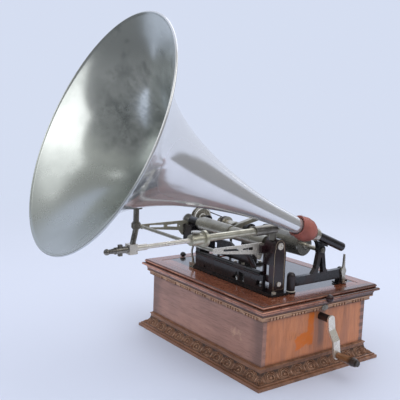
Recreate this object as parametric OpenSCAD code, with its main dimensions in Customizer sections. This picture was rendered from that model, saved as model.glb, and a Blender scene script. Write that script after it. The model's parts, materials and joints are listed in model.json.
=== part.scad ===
// Horn phonograph for cylinders: carved wooden case with a hinged deck, black cast works,
// nickel mandrel between a standard and a swing gate, and a spun horn held by a crane.
// The origin is on the table under the middle of the case. The front faces -Y and the crank is at +X.

/* [Case] */
// Length of the case along its front
case_l = 360; // [340:1:400]
// Depth of the case from front to back
case_w = 270; // [260:1:310]
// Height of the case walls, from the table to the deck
case_h = 131; // [128:1:150]
// Thickness of the wall boards
board_t = 10; // [8:0.5:12]
// Thickness of the bottom board
floor_t = 8; // [6:0.5:12]
// Height of the bottom board above the table
floor_lift = 0; // [0:1:10]

/* [Plinth and cornice] */
// Height of the plinth moulding
plinth_h = 34; // [28:1:40]
// How far the plinth stands out at the table
plinth_out = 22.7; // [18:0.1:28]
// Height of the cornice strip under the deck
cornice_h = 12; // [11.6:0.1:15]
// How far the cornice strip stands out
cornice_out = 10.3; // [8:0.1:12]
// Width of one dentil
dentil_w = 3.8; // [3:0.1:5]
// Distance from one dentil to the next
dentil_pitch = 7.5; // [6.5:0.1:9]
// Dentils in one group
dentil_count = 5; // [3:1:6]
// Groups of dentils on a long side
groups_long = 7; // [4:1:7]
// Groups of dentils on a short side
groups_short = 5; // [3:1:5]

/* [Deck] */
// Height of the deck moulding
deck_h = 21; // [19:1:26]
// How far the deck moulding stands out past the case
deck_out = 19.9; // [18:0.1:24]
// Inner edge of the deck moulding, inside the face of the case
frame_in = 12; // [10:1:20]
// Thickness of the deck panel
panel_t = 12; // [8:0.5:15]
// Step from the moulding down to the panel
panel_drop = 0.8; // [0:0.1:2]
// Clearance round the belt in the deck slot
slot_clear = 6; // [4:0.5:10]

/* [Deck hinges] */
// Width of a hinge leaf along the case
leaf_w = 40; // [30:1:60]
// Thickness of a hinge leaf
leaf_t = 1.5; // [1:0.1:2]
// Distance of each hinge from the middle
hinge_y = 80; // [60:1:100]
// Diameter of a hinge knuckle
knuckle_d = 6; // [5:0.1:8]
// Diameter of a hinge pin
hinge_pin_d = 2.4; // [2:0.1:3]

/* [Bed] */
// Left end of the bed rail
bed_x0 = -80; // [-90:1:-70]
// Right end of the bed
bed_x1 = 150; // [146:1:154]
// Front face of the bed
bed_y = -97; // [-104:1:-95]
// Height of the bed rail above the deck
bed_h = 38; // [32:1:44]
// Thickness of the bed rail
rail_t = 9; // [7:0.5:12]
// Thickness of the foot flange
flange_t = 4.5; // [3:0.5:7]
// Depth of the foot flange from front to back
flange_w = 40; // [36:1:50]
// Thickness of the web behind the guide tube
web_t = 6; // [4:0.5:8]
// Reach of the web to the right of its upright
web_l = 138; // [120:1:142]
// Height of the web
web_h = 32; // [26:1:34]

/* [Guide tube and feed screw] */
// Place of the guide tube from front to back
tube_y = -75; // [-78:1:-73]
// Height of the guide tube above the deck
tube_h = 90; // [88:1:92]
// Outer diameter of the guide tube
tube_d = 25; // [22:0.5:26]
// Wall of the guide tube
tube_wall = 2.5; // [2:0.5:3.5]
// Left end of the guide tube
tube_x0 = -97.5; // [-97.5:0.5:-94]
// Right end of the guide tube
tube_x1 = 113; // [111:1:114]
// Diameter of the feed screw
feed_d = 12; // [9:0.5:13]
// Width of the slot for the half nut
nut_slot = 6; // [4:0.5:8]
// Running clearance on radius of sliding and turning fits
run_clear = 0.06; // [0.02:0.01:0.1]

/* [Carriage] */
// Length of the carriage sleeve
sleeve_l = 96; // [80:1:98]
// Left end of the sleeve at the start of a record
sleeve_x0 = -86; // [-88:1:-84]
// Diameter of the sleeve at its left end
sleeve_d1 = 31; // [30:0.5:34]
// Diameter of the sleeve at its right end
sleeve_d2 = 28; // [27.5:0.5:30]
// Travel of the carriage
carriage_travel = 100; // [80:1:104]
// Diameter of the sound box
box_d = 42; // [34:1:46]
// Thickness of the sound box
box_t = 9; // [7:0.5:12]

/* [Mandrel] */
// Place of the mandrel from front to back
mandrel_y = 26; // [24:1:30]
// Height of the mandrel axis above the deck
mandrel_h = 74; // [72:1:76]
// Left end of the mandrel
mandrel_x0 = -4; // [-8:1:0]
// Length of the mandrel
mandrel_l = 116; // [104:1:118]
// Diameter of the mandrel at its left end
mandrel_d1 = 47; // [44:0.1:48]
// Diameter of the mandrel at its right end
mandrel_d2 = 43; // [39:0.1:43.5]
// Wall of the mandrel, mm
mandrel_wall = 4; // [2:0.5:8]
// Diameter of the spindle in its bearing
spindle_d = 12; // [10:0.5:14]
// Diameter of the bright sleeve on the spindle
spindle_sleeve_d = 21; // [18:0.5:24]
// Diameter of the belt pulleys on the spindle
pulley_d = 30; // [26:1:36]
// Width of a belt
belt_w = 7; // [5:0.5:9]
// Thickness of a belt
belt_t = 1.8; // [1.2:0.1:2.5]

/* [Swing gate] */
// Place of the gate along the case
gate_x = 154; // [153:1:156]
// Place of the gate pivot from front to back
gate_y = -47; // [-48:1:-44]
// Distance from the gate pivot to its rest post
gate_span = 135; // [130:1:138]
// Height of the underside of the gate barrel above the deck
gate_lift = 9; // [7:0.5:12]
// Step from the underside of the barrel up to the underside of the beam
beam_step = 3; // [0:0.5:5]
// Height of the gate beam
beam_h = 21; // [18:1:26]
// Thickness of the gate casting
gate_t = 9; // [8:0.5:10]
// Diameter of the gate barrel
barrel_d = 16; // [14:0.5:18]
// Diameter of the gate pivot pin
gate_pin_d = 8; // [6:0.5:9]

/* [Horn] */
// Radius of the bell at its rim
bell_r = 190; // [170:1:200]
// Radius of the neck
neck_r = 14.6; // [13:0.2:15]
// Growth of the neck's radius for each millimetre towards the bell
neck_taper = 0.045; // [0.02:0.005:0.06]
// Length of the horn from rim to neck
horn_l = 440; // [430:1:446]
// How quickly the bell closes behind the rim
flare_l = 65.5; // [60:0.5:72]
// Thickness of the horn sheet
horn_wall = 1.2; // [0.8:0.1:2]
// Radius of the rolled rim
rim_r = 1.9; // [1.6:0.1:3]
// Rise of the horn axis towards the bell, in degrees
horn_rise = 23.06; // [22.5:0.01:23.5]
// Swing of the horn axis towards the crank side, in degrees
horn_turn = 3.54; // [3:0.01:4]
// Length of the leather sleeve
leather_l = 44; // [38:1:46]
// Diameter of the leather sleeve at its middle
leather_d = 45; // [40:1:46]
// Width of the leather lip round the neck
leather_lip = 4; // [3:0.5:5]
// Diameter of the sound tube
sound_d = 17; // [14:0.5:18]

/* [Horn crane] */
// Place of the crane along the case
crane_x = 135; // [133:1:138]
// Height of the crane axis above the deck, at its socket
crane_h = 120.5; // [119:0.5:122]
// Fall of the crane towards the front, in degrees
crane_fall = 1.2; // [0.8:0.1:1.6]
// Diameter of the thick crane tube
crane_d = 12.4; // [11:0.2:14]
// Diameter of the thin crane rod
crane_rod_d = 7.6; // [6:0.2:8.4]
// Distance from the socket front to the collar
crane_tube_l = 110; // [90:1:114]
// Distance from the collar to the horn post
crane_reach = 139; // [132:1:146]

/* [Front bail] */
// Height of the guide tube above the bail pivot
bail_drop = 8; // [7:0.5:9]
// Place of the bail pivot from front to back
bail_y = -94; // [-95:0.5:-93]
// Distance from the bail pivot to its front bar
bail_l = 106; // [96:1:112]
// Thickness of the bail arms
bail_t = 2.6; // [2:0.1:3]
// Outer face of the left bail arm
bail_x0 = -131; // [-134:1:-130]
// Outer face of the right bail arm
bail_x1 = 119.5; // [118.5:0.5:120]
// Diameter of the bail bar
bail_bar_d = 7; // [5:0.5:8]

/* [Crank] */
// Place of the crank axis from front to back
crank_y = 10; // [6:1:14]
// Depth of the crank axis below the top of the case
crank_drop = 25.5; // [25.5:0.5:28]
// Length of the crank arm between its axes
crank_len = 68; // [60:1:76]
// Width of the crank arm
crank_w = 17; // [14:0.5:20]
// Thickness of the crank arm
crank_t = 3.6; // [3:0.1:5]
// Outward bend of the crank arm
crank_bend = 10; // [6:0.5:14]
// Lean of the crank arm from straight down, in degrees
crank_lean = 9; // [0:1:20]
// Diameter of the crank shaft
shaft_d = 8; // [7:0.5:9]
// Length of the wooden grip
grip_l = 46; // [38:1:54]
// Diameter of the wooden grip at its outer end
grip_d = 17; // [14:0.5:20]

/* [Motor] */
// Place of the spring barrel axis from front to back
barrel_y = -26; // [-28:1:-24]
// Depth of the spring barrel axis below the top of the case
barrel_drop = 49; // [47:1:51]
// Diameter of the spring barrel
spring_d = 70; // [60:1:74]
// Width of the spring barrel
spring_w = 36; // [28:1:40]
// Thickness of the mainspring
spring_t = 1.6; // [1.2:0.1:2]
// Thickness of the motor side plates
plate_t = 3; // [2.5:0.1:4]
// Depth of the drive shaft below the top of the case
drive_drop = 51; // [49:1:53]
// Thickness of the gears
gear_t = 4; // [3:0.5:6]

/* [Hidden] */
$fn = 48;

deck_z = case_h + deck_h;
panel_top = deck_z - panel_drop;
// Small gap between faces of different pieces that only rest near each other
seat_gap = 0.3;
// Half of the joint line between two mitred lengths
mitre_gap = 0.03;
tube_z = deck_z + tube_h;
mandrel_z = deck_z + mandrel_h;
mandrel_x1 = mandrel_x0 + mandrel_l;
bail_z = tube_z - bail_drop;
crank_z = case_h - crank_drop;
barrel_z = case_h - barrel_drop;
drive_z = case_h - drive_drop;
wood = "sienna";
iron = [0.1, 0.1, 0.11];
nickel = [0.72, 0.71, 0.68];
steel = [0.55, 0.56, 0.58];
brass = [0.72, 0.58, 0.3];

// Points of an arc from angle a0 to a1; ry makes it part of an ellipse
function arc(cx, cy, r, a0, a1, n = 6, ry = 0) =
    [for (i = [0:n]) let (a = a0 + (a1 - a0) * i / n)
        [cx + r * cos(a), cy + (ry > 0 ? ry : r) * sin(a)]];

// A round bar along X
module rod_x(d, x0, x1, y, z) {
    translate([x0, y, z]) rotate([0, 90, 0]) cylinder(d = d, h = x1 - x0);
}

// A solid of revolution about an axis along X, from points of (radius, x)
module turned_x(points, y, z) {
    translate([0, y, z]) rotate([0, 90, 0]) rotate_extrude() polygon(points);
}

// A flat plate in the Y-Z plane, from a 2D drawing of (y, z)
module plate_x(x0, t) {
    translate([x0, 0, 0]) rotate([90, 0, 90]) linear_extrude(t) children();
}

// A flat plate in the X-Z plane, growing from y0 towards the back
module plate_y(y0, t) {
    translate([0, y0 + t, 0]) rotate([90, 0, 0]) linear_extrude(t) children();
}

// One length of moulding with mitred ends; children draw its section as (outward, height)
module mitred(len, inner, outer, z0, z1) {
    intersection() {
        translate([-len, 0, 0]) rotate([90, 0, 90]) linear_extrude(2 * len) children();
        translate([0, 0, z0]) linear_extrude(z1 - z0)
            polygon([[-len / 2 - inner + mitre_gap, inner], [len / 2 + inner - mitre_gap, inner],
                     [len / 2 + outer - mitre_gap, outer], [-len / 2 - outer + mitre_gap, outer]]);
    }
}

// Places a child on each side of the case: side 0 is the back, 1 left, 2 front, 3 right
module on_side(side) {
    rotate(90 * side) translate([0, (side % 2 == 0 ? case_w : case_l) / 2, 0]) children();
}

function side_length(side) = side % 2 == 0 ? case_l : case_w;

// A toothed wheel lying in the X-Y plane; teeth are cut inside the tip radius
module toothed(tip_r, teeth, depth) {
    difference() {
        circle(r = tip_r);
        for (i = [0:teeth - 1])
            rotate(360 * i / teeth)
                polygon([[tip_r + 1, -tip_r * 2.4 / teeth], [tip_r + 1, tip_r * 2.4 / teeth],
                         [tip_r - depth, tip_r * 0.9 / teeth], [tip_r - depth, -tip_r * 0.9 / teeth]]);
    }
}

// A toothed wheel on an axis along X
module gear_x(tip_r, teeth, x0, t, y, z, bore) {
    translate([x0, y, z]) rotate([0, 90, 0]) linear_extrude(t) difference() {
        toothed(tip_r, teeth, 2);
        circle(d = bore);
    }
}

// A slotted cheese-head screw; the head stands on the origin and points to +Z
module screw(d, h) {
    difference() {
        cylinder(d = d, h = h);
        translate([-d, -d * 0.08, h * 0.6]) cube([2 * d, d * 0.16, h]);
    }
}

// Case

module case_long_panels() {
    color(wood) for (side = [0, 2]) on_side(side)
        translate([-case_l / 2, -board_t, 0]) cube([case_l, board_t, case_h]);
}

escutcheon_d = 12;

module case_left() {
    color(wood) on_side(1)
        translate([-case_w / 2 + board_t, -board_t, 0])
            cube([case_w - 2 * board_t, board_t, case_h]);
}

module case_right() {
    color(wood) difference() {
        on_side(3) translate([-case_w / 2 + board_t, -board_t, 0])
            cube([case_w - 2 * board_t, board_t, case_h]);
        rod_x(escutcheon_d, case_l / 2 - board_t - 1, case_l / 2 + 1, crank_y, crank_z);
    }
}

module case_bottom() {
    color(wood) translate([-case_l / 2 + board_t, -case_w / 2 + board_t, floor_lift])
        cube([case_l - 2 * board_t, case_w - 2 * board_t, floor_t]);
}

// Section of the plinth: a flat foot, a hollow face for the carving, and a bead
plinth_foot = 6;
plinth_bead = 3;
module plinth_section() {
    hollow = plinth_h - plinth_foot - 2 * plinth_bead - 2;
    cove_x = plinth_out - 4;
    polygon(concat(
        [[0, 0], [plinth_out, 0]],
        arc(plinth_out - 1.5, plinth_foot - 1.5, 1.5, 0, 90, 4),
        [[cove_x, plinth_foot]],
        arc(cove_x - 1, plinth_foot + 1.5, 1.5, -60, 90, 5),
        arc(cove_x - 1, plinth_foot + plinth_bead + hollow, cove_x - 4, -90, -170, 8, hollow),
        arc(3.5, plinth_h - plinth_bead, plinth_bead / 2, -90, 90, 5),
        [[1.5, plinth_h - plinth_bead / 2], [1.5, plinth_h], [0, plinth_h]]));
}

module plinth_mouldings() {
    color(wood) for (side = [0:3]) on_side(side)
        mitred(side_length(side), 0, plinth_out + 1, 0, plinth_h) plinth_section();
}

// Section of the cornice: the flat that carries the dentils, and a lip
cornice_z = case_h - cornice_h;
dentil_h = 6;
dentil_out = 2.6;
lip_h = 4.6;
module cornice_section() {
    flat_out = cornice_out - dentil_out - 1.2;
    translate([0, cornice_z]) polygon(concat(
        [[0, 0], [flat_out - 0.8, 0], [flat_out, 0.8], [flat_out, cornice_h - lip_h]],
        arc(cornice_out - 1.5, cornice_h - lip_h / 2, lip_h / 2, -80, 0, 4),
        [[cornice_out, cornice_h], [0, cornice_h]]));
}

module dentils(len, groups) {
    flat_out = cornice_out - dentil_out - 1.2;
    for (g = [0:groups - 1])
        for (i = [0:dentil_count - 1])
            translate([(g - (groups - 1) / 2) * len / groups
                       + (i - (dentil_count - 1) / 2) * dentil_pitch - dentil_w / 2,
                       flat_out - 0.5, case_h - lip_h - dentil_h])
                cube([dentil_w, dentil_out + 0.5, dentil_h]);
}

module cornice_strips() {
    color(wood) difference() {
        for (side = [0:3]) on_side(side) {
            mitred(side_length(side), 0, cornice_out + 1, cornice_z, case_h) cornice_section();
            dentils(side_length(side), side % 2 == 0 ? groups_long : groups_short);
        }
        leaf_places() translate([0, 0, -leaf_t]) leaf_blank(1);
    }
}

module crank_escutcheon() {
    x = case_l / 2;
    color(iron) difference() {
        union() {
            rod_x(escutcheon_d - 0.1, x - board_t, x, crank_y, crank_z);
            rod_x(escutcheon_d + 2.6, x, x + 1.6, crank_y, crank_z);
        }
        rod_x(shaft_d + 2 * run_clear, x - board_t - 1, x + 3, crank_y, crank_z);
    }
}

// Deck hinges, outside the left end of the deck

hinge_x = -(case_l / 2 + deck_out + knuckle_d / 2 + 0.5);
leaf_reach = 23;
knuckle_gap = 0.3;

module leaf_places() {
    for (s = [-1, 1]) translate([hinge_x, s * hinge_y, case_h]) children();
}

// The flat of a leaf, from its knuckle inwards; grow widens it for its recess
module leaf_blank(grow = 0) {
    start = grow > 0 ? 0 : knuckle_d / 2 - 0.6;
    translate([start, -leaf_w / 2, 0]) cube([leaf_reach - start, leaf_w, leaf_t + grow]);
}

module knuckles(spans) {
    for (s = spans)
        translate([0, s[0], 0]) rotate([-90, 0, 0]) cylinder(d = knuckle_d, h = s[1] - s[0]);
}

middle_knuckle = leaf_w / 3;

module hinge_case_leaves() {
    color(brass) leaf_places() {
        difference() {
            union() {
                translate([0, 0, -leaf_t]) leaf_blank();
                knuckles([[-middle_knuckle / 2, middle_knuckle / 2]]);
            }
            for (s = [-1, 1])
                translate([-knuckle_d, s * (middle_knuckle / 2 + leaf_w / 2) - leaf_w / 2, -leaf_t - 1])
                    cube([1.5 * knuckle_d + 0.3, leaf_w, leaf_t + 2]);
        }
        translate([0, -leaf_w / 2, 0]) rotate([-90, 0, 0]) cylinder(d = hinge_pin_d, h = leaf_w);
    }
}

module hinge_deck_leaves() {
    side = middle_knuckle / 2 + knuckle_gap;
    color(brass) leaf_places() difference() {
        union() {
            leaf_blank();
            knuckles([[-leaf_w / 2, -side], [side, leaf_w / 2]]);
        }
        translate([-knuckle_d, -side, -1]) cube([1.5 * knuckle_d + 0.3, 2 * side, leaf_t + 2]);
        translate([0, -leaf_w, 0]) rotate([-90, 0, 0])
            cylinder(d = hinge_pin_d + 2 * run_clear, h = 2 * leaf_w);
    }
}

// Deck

// Edge of the deck, from below: a flat, a low bead, the nose that stands out most, and a top bead
low_bead_r = 1.9;
low_bead_h = 4.6;
nose_r = 2.9;
top_bead_r = 2.6;
top_bead_in = 4.6;
module deck_section() {
    nose_h = deck_h - 10.1;
    top_h = deck_h - 3.4;
    groove = deck_out - top_bead_in - 1.8;
    translate([0, case_h]) polygon(concat(
        [[-frame_in, 0], [cornice_out + 0.7, 0], [cornice_out + 0.7, low_bead_h - low_bead_r]],
        arc(cornice_out, low_bead_h, low_bead_r, -60, 60, 5),
        [[groove, nose_h - nose_r - 0.5]],
        arc(deck_out - nose_r, nose_h, nose_r, -75, 75, 7),
        [[groove, nose_h + nose_r + 0.5]],
        arc(deck_out - top_bead_in - top_bead_r, top_h, top_bead_r, -60, 60, 5),
        [[groove, deck_h - 0.8], [groove - 0.6, deck_h], [-frame_in + 1, deck_h], [-frame_in, deck_h - 0.6]]));
}

module deck_frame() {
    color(wood) difference() {
        for (side = [0:3]) on_side(side)
            mitred(side_length(side), -frame_in, deck_out + 1, case_h, deck_z) deck_section();
        leaf_places() translate([0, 0, -1]) leaf_blank(1);
        rod_x(catch_pin_d + 2 * run_clear, case_l / 2 + deck_out - 10, case_l / 2 + deck_out + 1, catch_y, catch_z);
    }
}

belt_x = -137;
lever_x = -93;
lever_y = bed_y + 4;
knob_x = -case_l / 2 + 4;
knob_y = -62;

module deck_panel() {
    slot_l = pulley_d + 2 * slot_clear;
    color(wood) difference() {
        translate([-case_l / 2 + frame_in, -case_w / 2 + frame_in, panel_top - panel_t])
            cube([case_l - 2 * frame_in, case_w - 2 * frame_in, panel_t]);
        translate([belt_x - belt_w / 2 - 2, mandrel_y - slot_l / 2, panel_top - panel_t - 1])
            cube([belt_w + 4, slot_l, panel_t + 2]);
        translate([lever_x - 7, lever_y - 2, panel_top - panel_t - 1]) cube([14, 4, panel_t + 2]);
    }
}

// A turn button on the right-hand nose of the deck that keeps it shut
catch_y = 7;
catch_z = deck_z - 6.5;
catch_pin_d = 4;
module deck_catch() {
    face = case_l / 2 + deck_out + seat_gap;
    color([0.2, 0.08, 0.06]) {
        translate([face, 0, 0])
            turned_x(concat([[0, 0], [6.5, 0], [8, 2]], arc(0, 2, 8, 0, 90, 6)), catch_y, catch_z);
        rod_x(catch_pin_d, face - 9, face + 1, catch_y, catch_z);
    }
}

module speed_knob() {
    color(iron) translate([knob_x, knob_y, deck_z]) {
        translate([0, 0, seat_gap]) cylinder(d = 7, h = 2);
        translate([0, 0, 2]) rotate_extrude() polygon(concat([[0, 0], [6, 0], [6.6, 1.4]],
            arc(0, 1.4, 6.6, 0, 90, 6)));
    }
}

// Bed and castings

block_x0 = -128;
block_x1 = -98;
upright_w = 14;
upright_d = 25;
upright_drop = 20;
upright_x1 = bed_x0 + upright_w;
window_y = bed_y + rail_t;
pedestal_x0 = 122;
pedestal_w = 31;
pedestal_y0 = tube_y - pedestal_w / 2;
wall_t = 7;
boss_r = 13;
idler_y = -37;
idler_z = tube_z + 2;
idler_x = -150;
idler_pin_d = 8;
journal_d = 8;

foot_window = 11;
// Windows in the rail, as (x, height above the deck)
module rail_windows() {
    polygon([[42, 10], [59, 7], [57, 25]]);
    polygon([[62, 26], [79, 24], [79, 8], [65, 9]]);
    polygon([[-52, 8], [-44, 8], [-47, 15]]);
    polygon([[112, foot_window], [pedestal_x0 + 6, foot_window], [pedestal_x0 + 6, foot_window + 11],
             [116, foot_window + 11]]);
}

// Web that reaches to the right from the upright, open at its root
module web_side() {
    x0 = upright_x1;
    x1 = x0 + web_l;
    z1 = tube_z - upright_drop;
    difference() {
        polygon([[x0 - 2, z1 - web_h], [x0 - 2, z1], [x0 + 72, z1], [x0 + 92, z1 - 9], [x1, z1 - 14],
                 [x1, z1 - web_h + 2]]);
        polygon([[x0 + 19, z1 - 21], [x0 + 19, z1 - 8], [x0 + 32, z1 - 9], [x0 + 32, z1 - 22]]);
    }
}

module bedplate() {
    color(iron) {
        difference() {
            union() {
                translate([bed_x0, bed_y, deck_z])
                    cube([pedestal_x0 - bed_x0 + 10, rail_t, bed_h - rail_t / 2]);
                rod_x(rail_t + 2, bed_x0, pedestal_x0 - 0.1, bed_y + rail_t / 2, deck_z + bed_h - rail_t / 2);
                translate([bed_x0 - 4, bed_y - 3, deck_z])
                    cube([bed_x1 - bed_x0 + 16, flange_w, flange_t]);
                // upright at the left end, with the block that holds the guide tube
                translate([bed_x0, bed_y, deck_z]) cube([upright_w, upright_d, tube_h - upright_drop]);
                translate([block_x0, bed_y, tube_z - 38])
                    cube([upright_x1 - block_x0, upright_d, 38 - upright_drop]);
                plate_y(bed_y + upright_d - web_t, web_t) web_side();
                translate([block_x0, bed_y, tube_z - 38])
                    cube([block_x1 - block_x0, flange_w - 4, 33]);
                rod_x(2 * boss_r - 6, block_x0, block_x1, tube_y, tube_z);
                // arm that carries the idler gear
                translate([block_x0, bed_y + 10, tube_z - 34]) cube([10, idler_y - bed_y - 10, 12]);
                translate([block_x0, idler_y - 8, tube_z - 34]) cube([10, 16, idler_z - tube_z + 34]);
                rod_x(18, block_x0, block_x0 + 10, idler_y, idler_z);
                // pivot of the left bail arm
                rod_x(bail_pin_d, bail_x0 - 0.4, block_x0 + 2, bail_y, bail_z);
                rod_x(bail_pin_d + 3, bail_x0 - 2.4, bail_x0 - 0.4, bail_y, bail_z);
                rod_x(idler_pin_d, idler_x - 5, block_x0 + 1, idler_y, idler_z);
                rod_x(idler_pin_d + 4, idler_x - 6.5, idler_x - 4.5, idler_y, idler_z);
            }
            translate([0, 0, deck_z]) plate_y(bed_y - 1, rail_t + 2) rail_windows();
            // bore for the left journal of the feed screw
            rod_x(journal_d + 2 * run_clear, block_x0 - 1, block_x1 + 1, tube_y, tube_z);
            // clear space for the pedestal
            translate([pedestal_x0, pedestal_y0, deck_z + flange_t])
                cube([bed_x1 - pedestal_x0 + 20, pedestal_w + 20, tube_h]);
        }
    }
}

module pedestal_side() {
    translate([tube_y, tube_z]) circle(r = boss_r);
    polygon([[pedestal_y0, deck_z + flange_t], [pedestal_y0 + pedestal_w, deck_z + flange_t],
             [pedestal_y0 + pedestal_w, tube_z - 12], [tube_y + boss_r - 0.4, tube_z + 2],
             [tube_y - boss_r + 0.4, tube_z + 2], [pedestal_y0, tube_z - 12]]);
}

module right_pedestal() {
    color(iron) difference() {
        union() {
            plate_x(pedestal_x0, bed_x1 - pedestal_x0) pedestal_side();
            // pivot of the right bail arm
            rod_x(bail_pin_d, bail_x1 - bail_t - 0.4, pedestal_x0 + 6, bail_y, bail_z);
            rod_x(bail_pin_d + 3, bail_x1 - bail_t - 2.4, bail_x1 - bail_t - 0.4, bail_y, bail_z);
            translate([pedestal_x0, bail_y - 6.5, bail_z - 7]) cube([6, 14, 14]);
        }
        // the casting is hollow, open at the back and the left
        translate([pedestal_x0 - 1, pedestal_y0 + wall_t, deck_z + flange_t - 1])
            cube([bed_x1 - pedestal_x0 - wall_t, pedestal_w, tube_h - 22]);
        // slot and foot window in the front wall
        translate([pedestal_x0 + 4, pedestal_y0 - 1, deck_z + 33]) cube([13.5, wall_t + 2, 21]);
        translate([pedestal_x0 - 1, pedestal_y0 - 1, deck_z + foot_window]) cube([21, wall_t + 2, 11]);
        // hole for the guide tube spigot and the pivot of the feed screw
        rod_x(spigot_d + 0.04, pedestal_x0 - 1, pedestal_x0 + 12, tube_y, tube_z);
        rod_x(tail_d + 2 * run_clear, pedestal_x0 - 1, bed_x1 + 1, tube_y, tube_z);
    }
}

standard_x = -62;
standard_t = 13;
module spindle_standard() {
    foot_w = 62;
    color(iron) difference() {
        union() {
            translate([standard_x - 12, mandrel_y - foot_w / 2, deck_z - panel_drop])
                cube([standard_t + 24, foot_w, flange_t]);
            plate_x(standard_x, standard_t) {
                polygon([[mandrel_y - 22, deck_z], [mandrel_y + 22, deck_z],
                         [mandrel_y + 11, mandrel_z], [mandrel_y - 11, mandrel_z]]);
                translate([mandrel_y, mandrel_z]) circle(r = 15);
            }
        }
        rod_x(spindle_d + 2 * run_clear, standard_x - 1, standard_x + standard_t + 1, mandrel_y, mandrel_z);
        plate_x(standard_x - 1, standard_t + 2)
            polygon([[mandrel_y - 9, deck_z + 12], [mandrel_y + 9, deck_z + 12],
                     [mandrel_y + 5, deck_z + 44], [mandrel_y - 5, deck_z + 44]]);
    }
}

module bed_screws() {
    flange_top = deck_z + flange_t;
    color(nickel) {
        for (x = [bed_x0 + 24, 20, 96])
            translate([x, bed_y + flange_w - 12, flange_top]) screw(9, 3);
        translate([bed_x1 + 6, bed_y + 6, flange_top]) screw(8, 3);
        // bearing disc and foot screw on the outer face of the pedestal
        difference() {
            rod_x(13, bed_x1, bed_x1 + 2, tube_y, tube_z);
            rod_x(2.6, bed_x1 + 0.6, bed_x1 + 3, tube_y, tube_z);
        }
        translate([bed_x1, tube_y, deck_z + 19]) rotate([0, 90, 0]) screw(9, 2.4);
        for (x = [standard_x - 6, standard_x + standard_t + 6])
            for (s = [-1, 1])
                translate([x, mandrel_y + s * 24, deck_z - panel_drop + flange_t]) screw(7, 2.6);
    }
}

spigot_d = 9;
tail_d = 4;
module guide_tube() {
    color(nickel) difference() {
        union() {
            rod_x(tube_d, tube_x0, tube_x1, tube_y, tube_z);
            rod_x(spigot_d, tube_x1 - 1, pedestal_x0 + 10, tube_y, tube_z);
        }
        rod_x(tube_d - 2 * tube_wall, tube_x0 + 3, tube_x1 - 3, tube_y, tube_z);
        rod_x(journal_d + 2 * run_clear, tube_x0 - 1, tube_x0 + 4, tube_y, tube_z);
        rod_x(tail_d + 2 * run_clear, tube_x1 - 4, pedestal_x0 + 11, tube_y, tube_z);
        // slot for the half nut, on the side of the mandrel
        translate([tube_x0 + 6, tube_y, tube_z - nut_slot / 2])
            cube([tube_x1 - tube_x0 - 12, tube_d, nut_slot]);
    }
}

// Swing gate

post_foot = 3;
gate_z = deck_z + gate_lift;
barrel_h = beam_h + 2;
module gate_pivot_post() {
    color(iron) translate([gate_x, gate_y, deck_z]) {
        cylinder(d = barrel_d + 3, h = post_foot);
        cylinder(d = barrel_d, h = gate_lift - seat_gap);
        cylinder(d = gate_pin_d, h = gate_lift + barrel_h - 2);
    }
}

module gate_rest_post() {
    color(iron) translate([gate_x, gate_y + gate_span, deck_z]) {
        translate([-12, -10, 0]) cube([16, 24, post_foot]);
        translate([-7, -8, 0]) cube([11, 19, gate_lift - seat_gap]);
        // stud that the latch hooks under
        rod_x(4, 3, gate_t / 2 + 5, 8, gate_lift - 2.6);
    }
}

// Width of the pad along the case, enough to pass under the middle of the tube
pad_reach = 21;
pad_y0 = mandrel_y - 14;
pad_y1 = mandrel_y + 2;
// Height of the horn axis above the table where it passes y
function horn_axis_z(y) = horn_z(horn_at_y(y));
module gate_side() {
    beam_top = gate_z + beam_h;
    polygon([[gate_y, gate_z + beam_step], [gate_y + gate_span + 8, gate_z + beam_step],
             [gate_y + gate_span + 8, beam_top + 1], [gate_y, beam_top - 1]]);
    // foot over the rest post
    translate([gate_y + gate_span - 8, gate_z]) square([16, beam_h]);
    // crossed legs of the pillar
    difference() {
        polygon([[mandrel_y - 22, beam_top - 1], [mandrel_y + 20, beam_top - 1],
                 [mandrel_y + 14, beam_top + 8], [mandrel_y + 8.5, mandrel_z - 6],
                 [mandrel_y + 8, mandrel_z + 4], [pad_y1, pad_z(pad_y1)], [pad_y0, pad_z(pad_y0)],
                 [mandrel_y - 8, mandrel_z + 2], [mandrel_y - 8.5, mandrel_z - 8],
                 [mandrel_y - 14, beam_top + 9]]);
        polygon([[mandrel_y - 8, beam_top - 2], [mandrel_y + 7, beam_top],
                 [mandrel_y + 1, mandrel_z - 14], [mandrel_y - 1, mandrel_z - 14]]);
    }
    translate([mandrel_y, mandrel_z]) circle(d = 19);
    translate([gate_y + gate_span, beam_top - 5]) circle(d = 17);
}

// Flat pad that carries the sound tube; it is open above, so the gate can swing away
module gate_pad() {
    polygon([[pad_y0, pad_z(pad_y0)], [pad_y1, pad_z(pad_y1)], [pad_y1, pad_z(pad_y1) - 4],
             [pad_y0, pad_z(pad_y0) - 4]]);
}

module gate_arm() {
    color(iron) difference() {
        union() {
            plate_x(gate_x - gate_t / 2, pad_reach) gate_pad();
            plate_x(gate_x - gate_t / 2, gate_t) gate_side();
            translate([gate_x, gate_y, gate_z]) cylinder(d = barrel_d, h = barrel_h);
            translate([gate_x, gate_y, gate_z + barrel_h - 0.5]) intersection() {
                sphere(d = barrel_d);
                translate([0, 0, barrel_d / 2]) cube(barrel_d, center = true);
            }
        }
        translate([gate_x, gate_y, gate_z - 1]) cylinder(d = gate_pin_d + 2 * run_clear, h = barrel_h);
        // threaded hole for the centre
        rod_x(6.04, gate_x - gate_t, gate_x + gate_t, mandrel_y, mandrel_z);
        // pivot of the latch
        rod_x(latch_pin_d + 2 * run_clear, gate_x - gate_t, gate_x + gate_t, latch_y, latch_z);
    }
}

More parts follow.
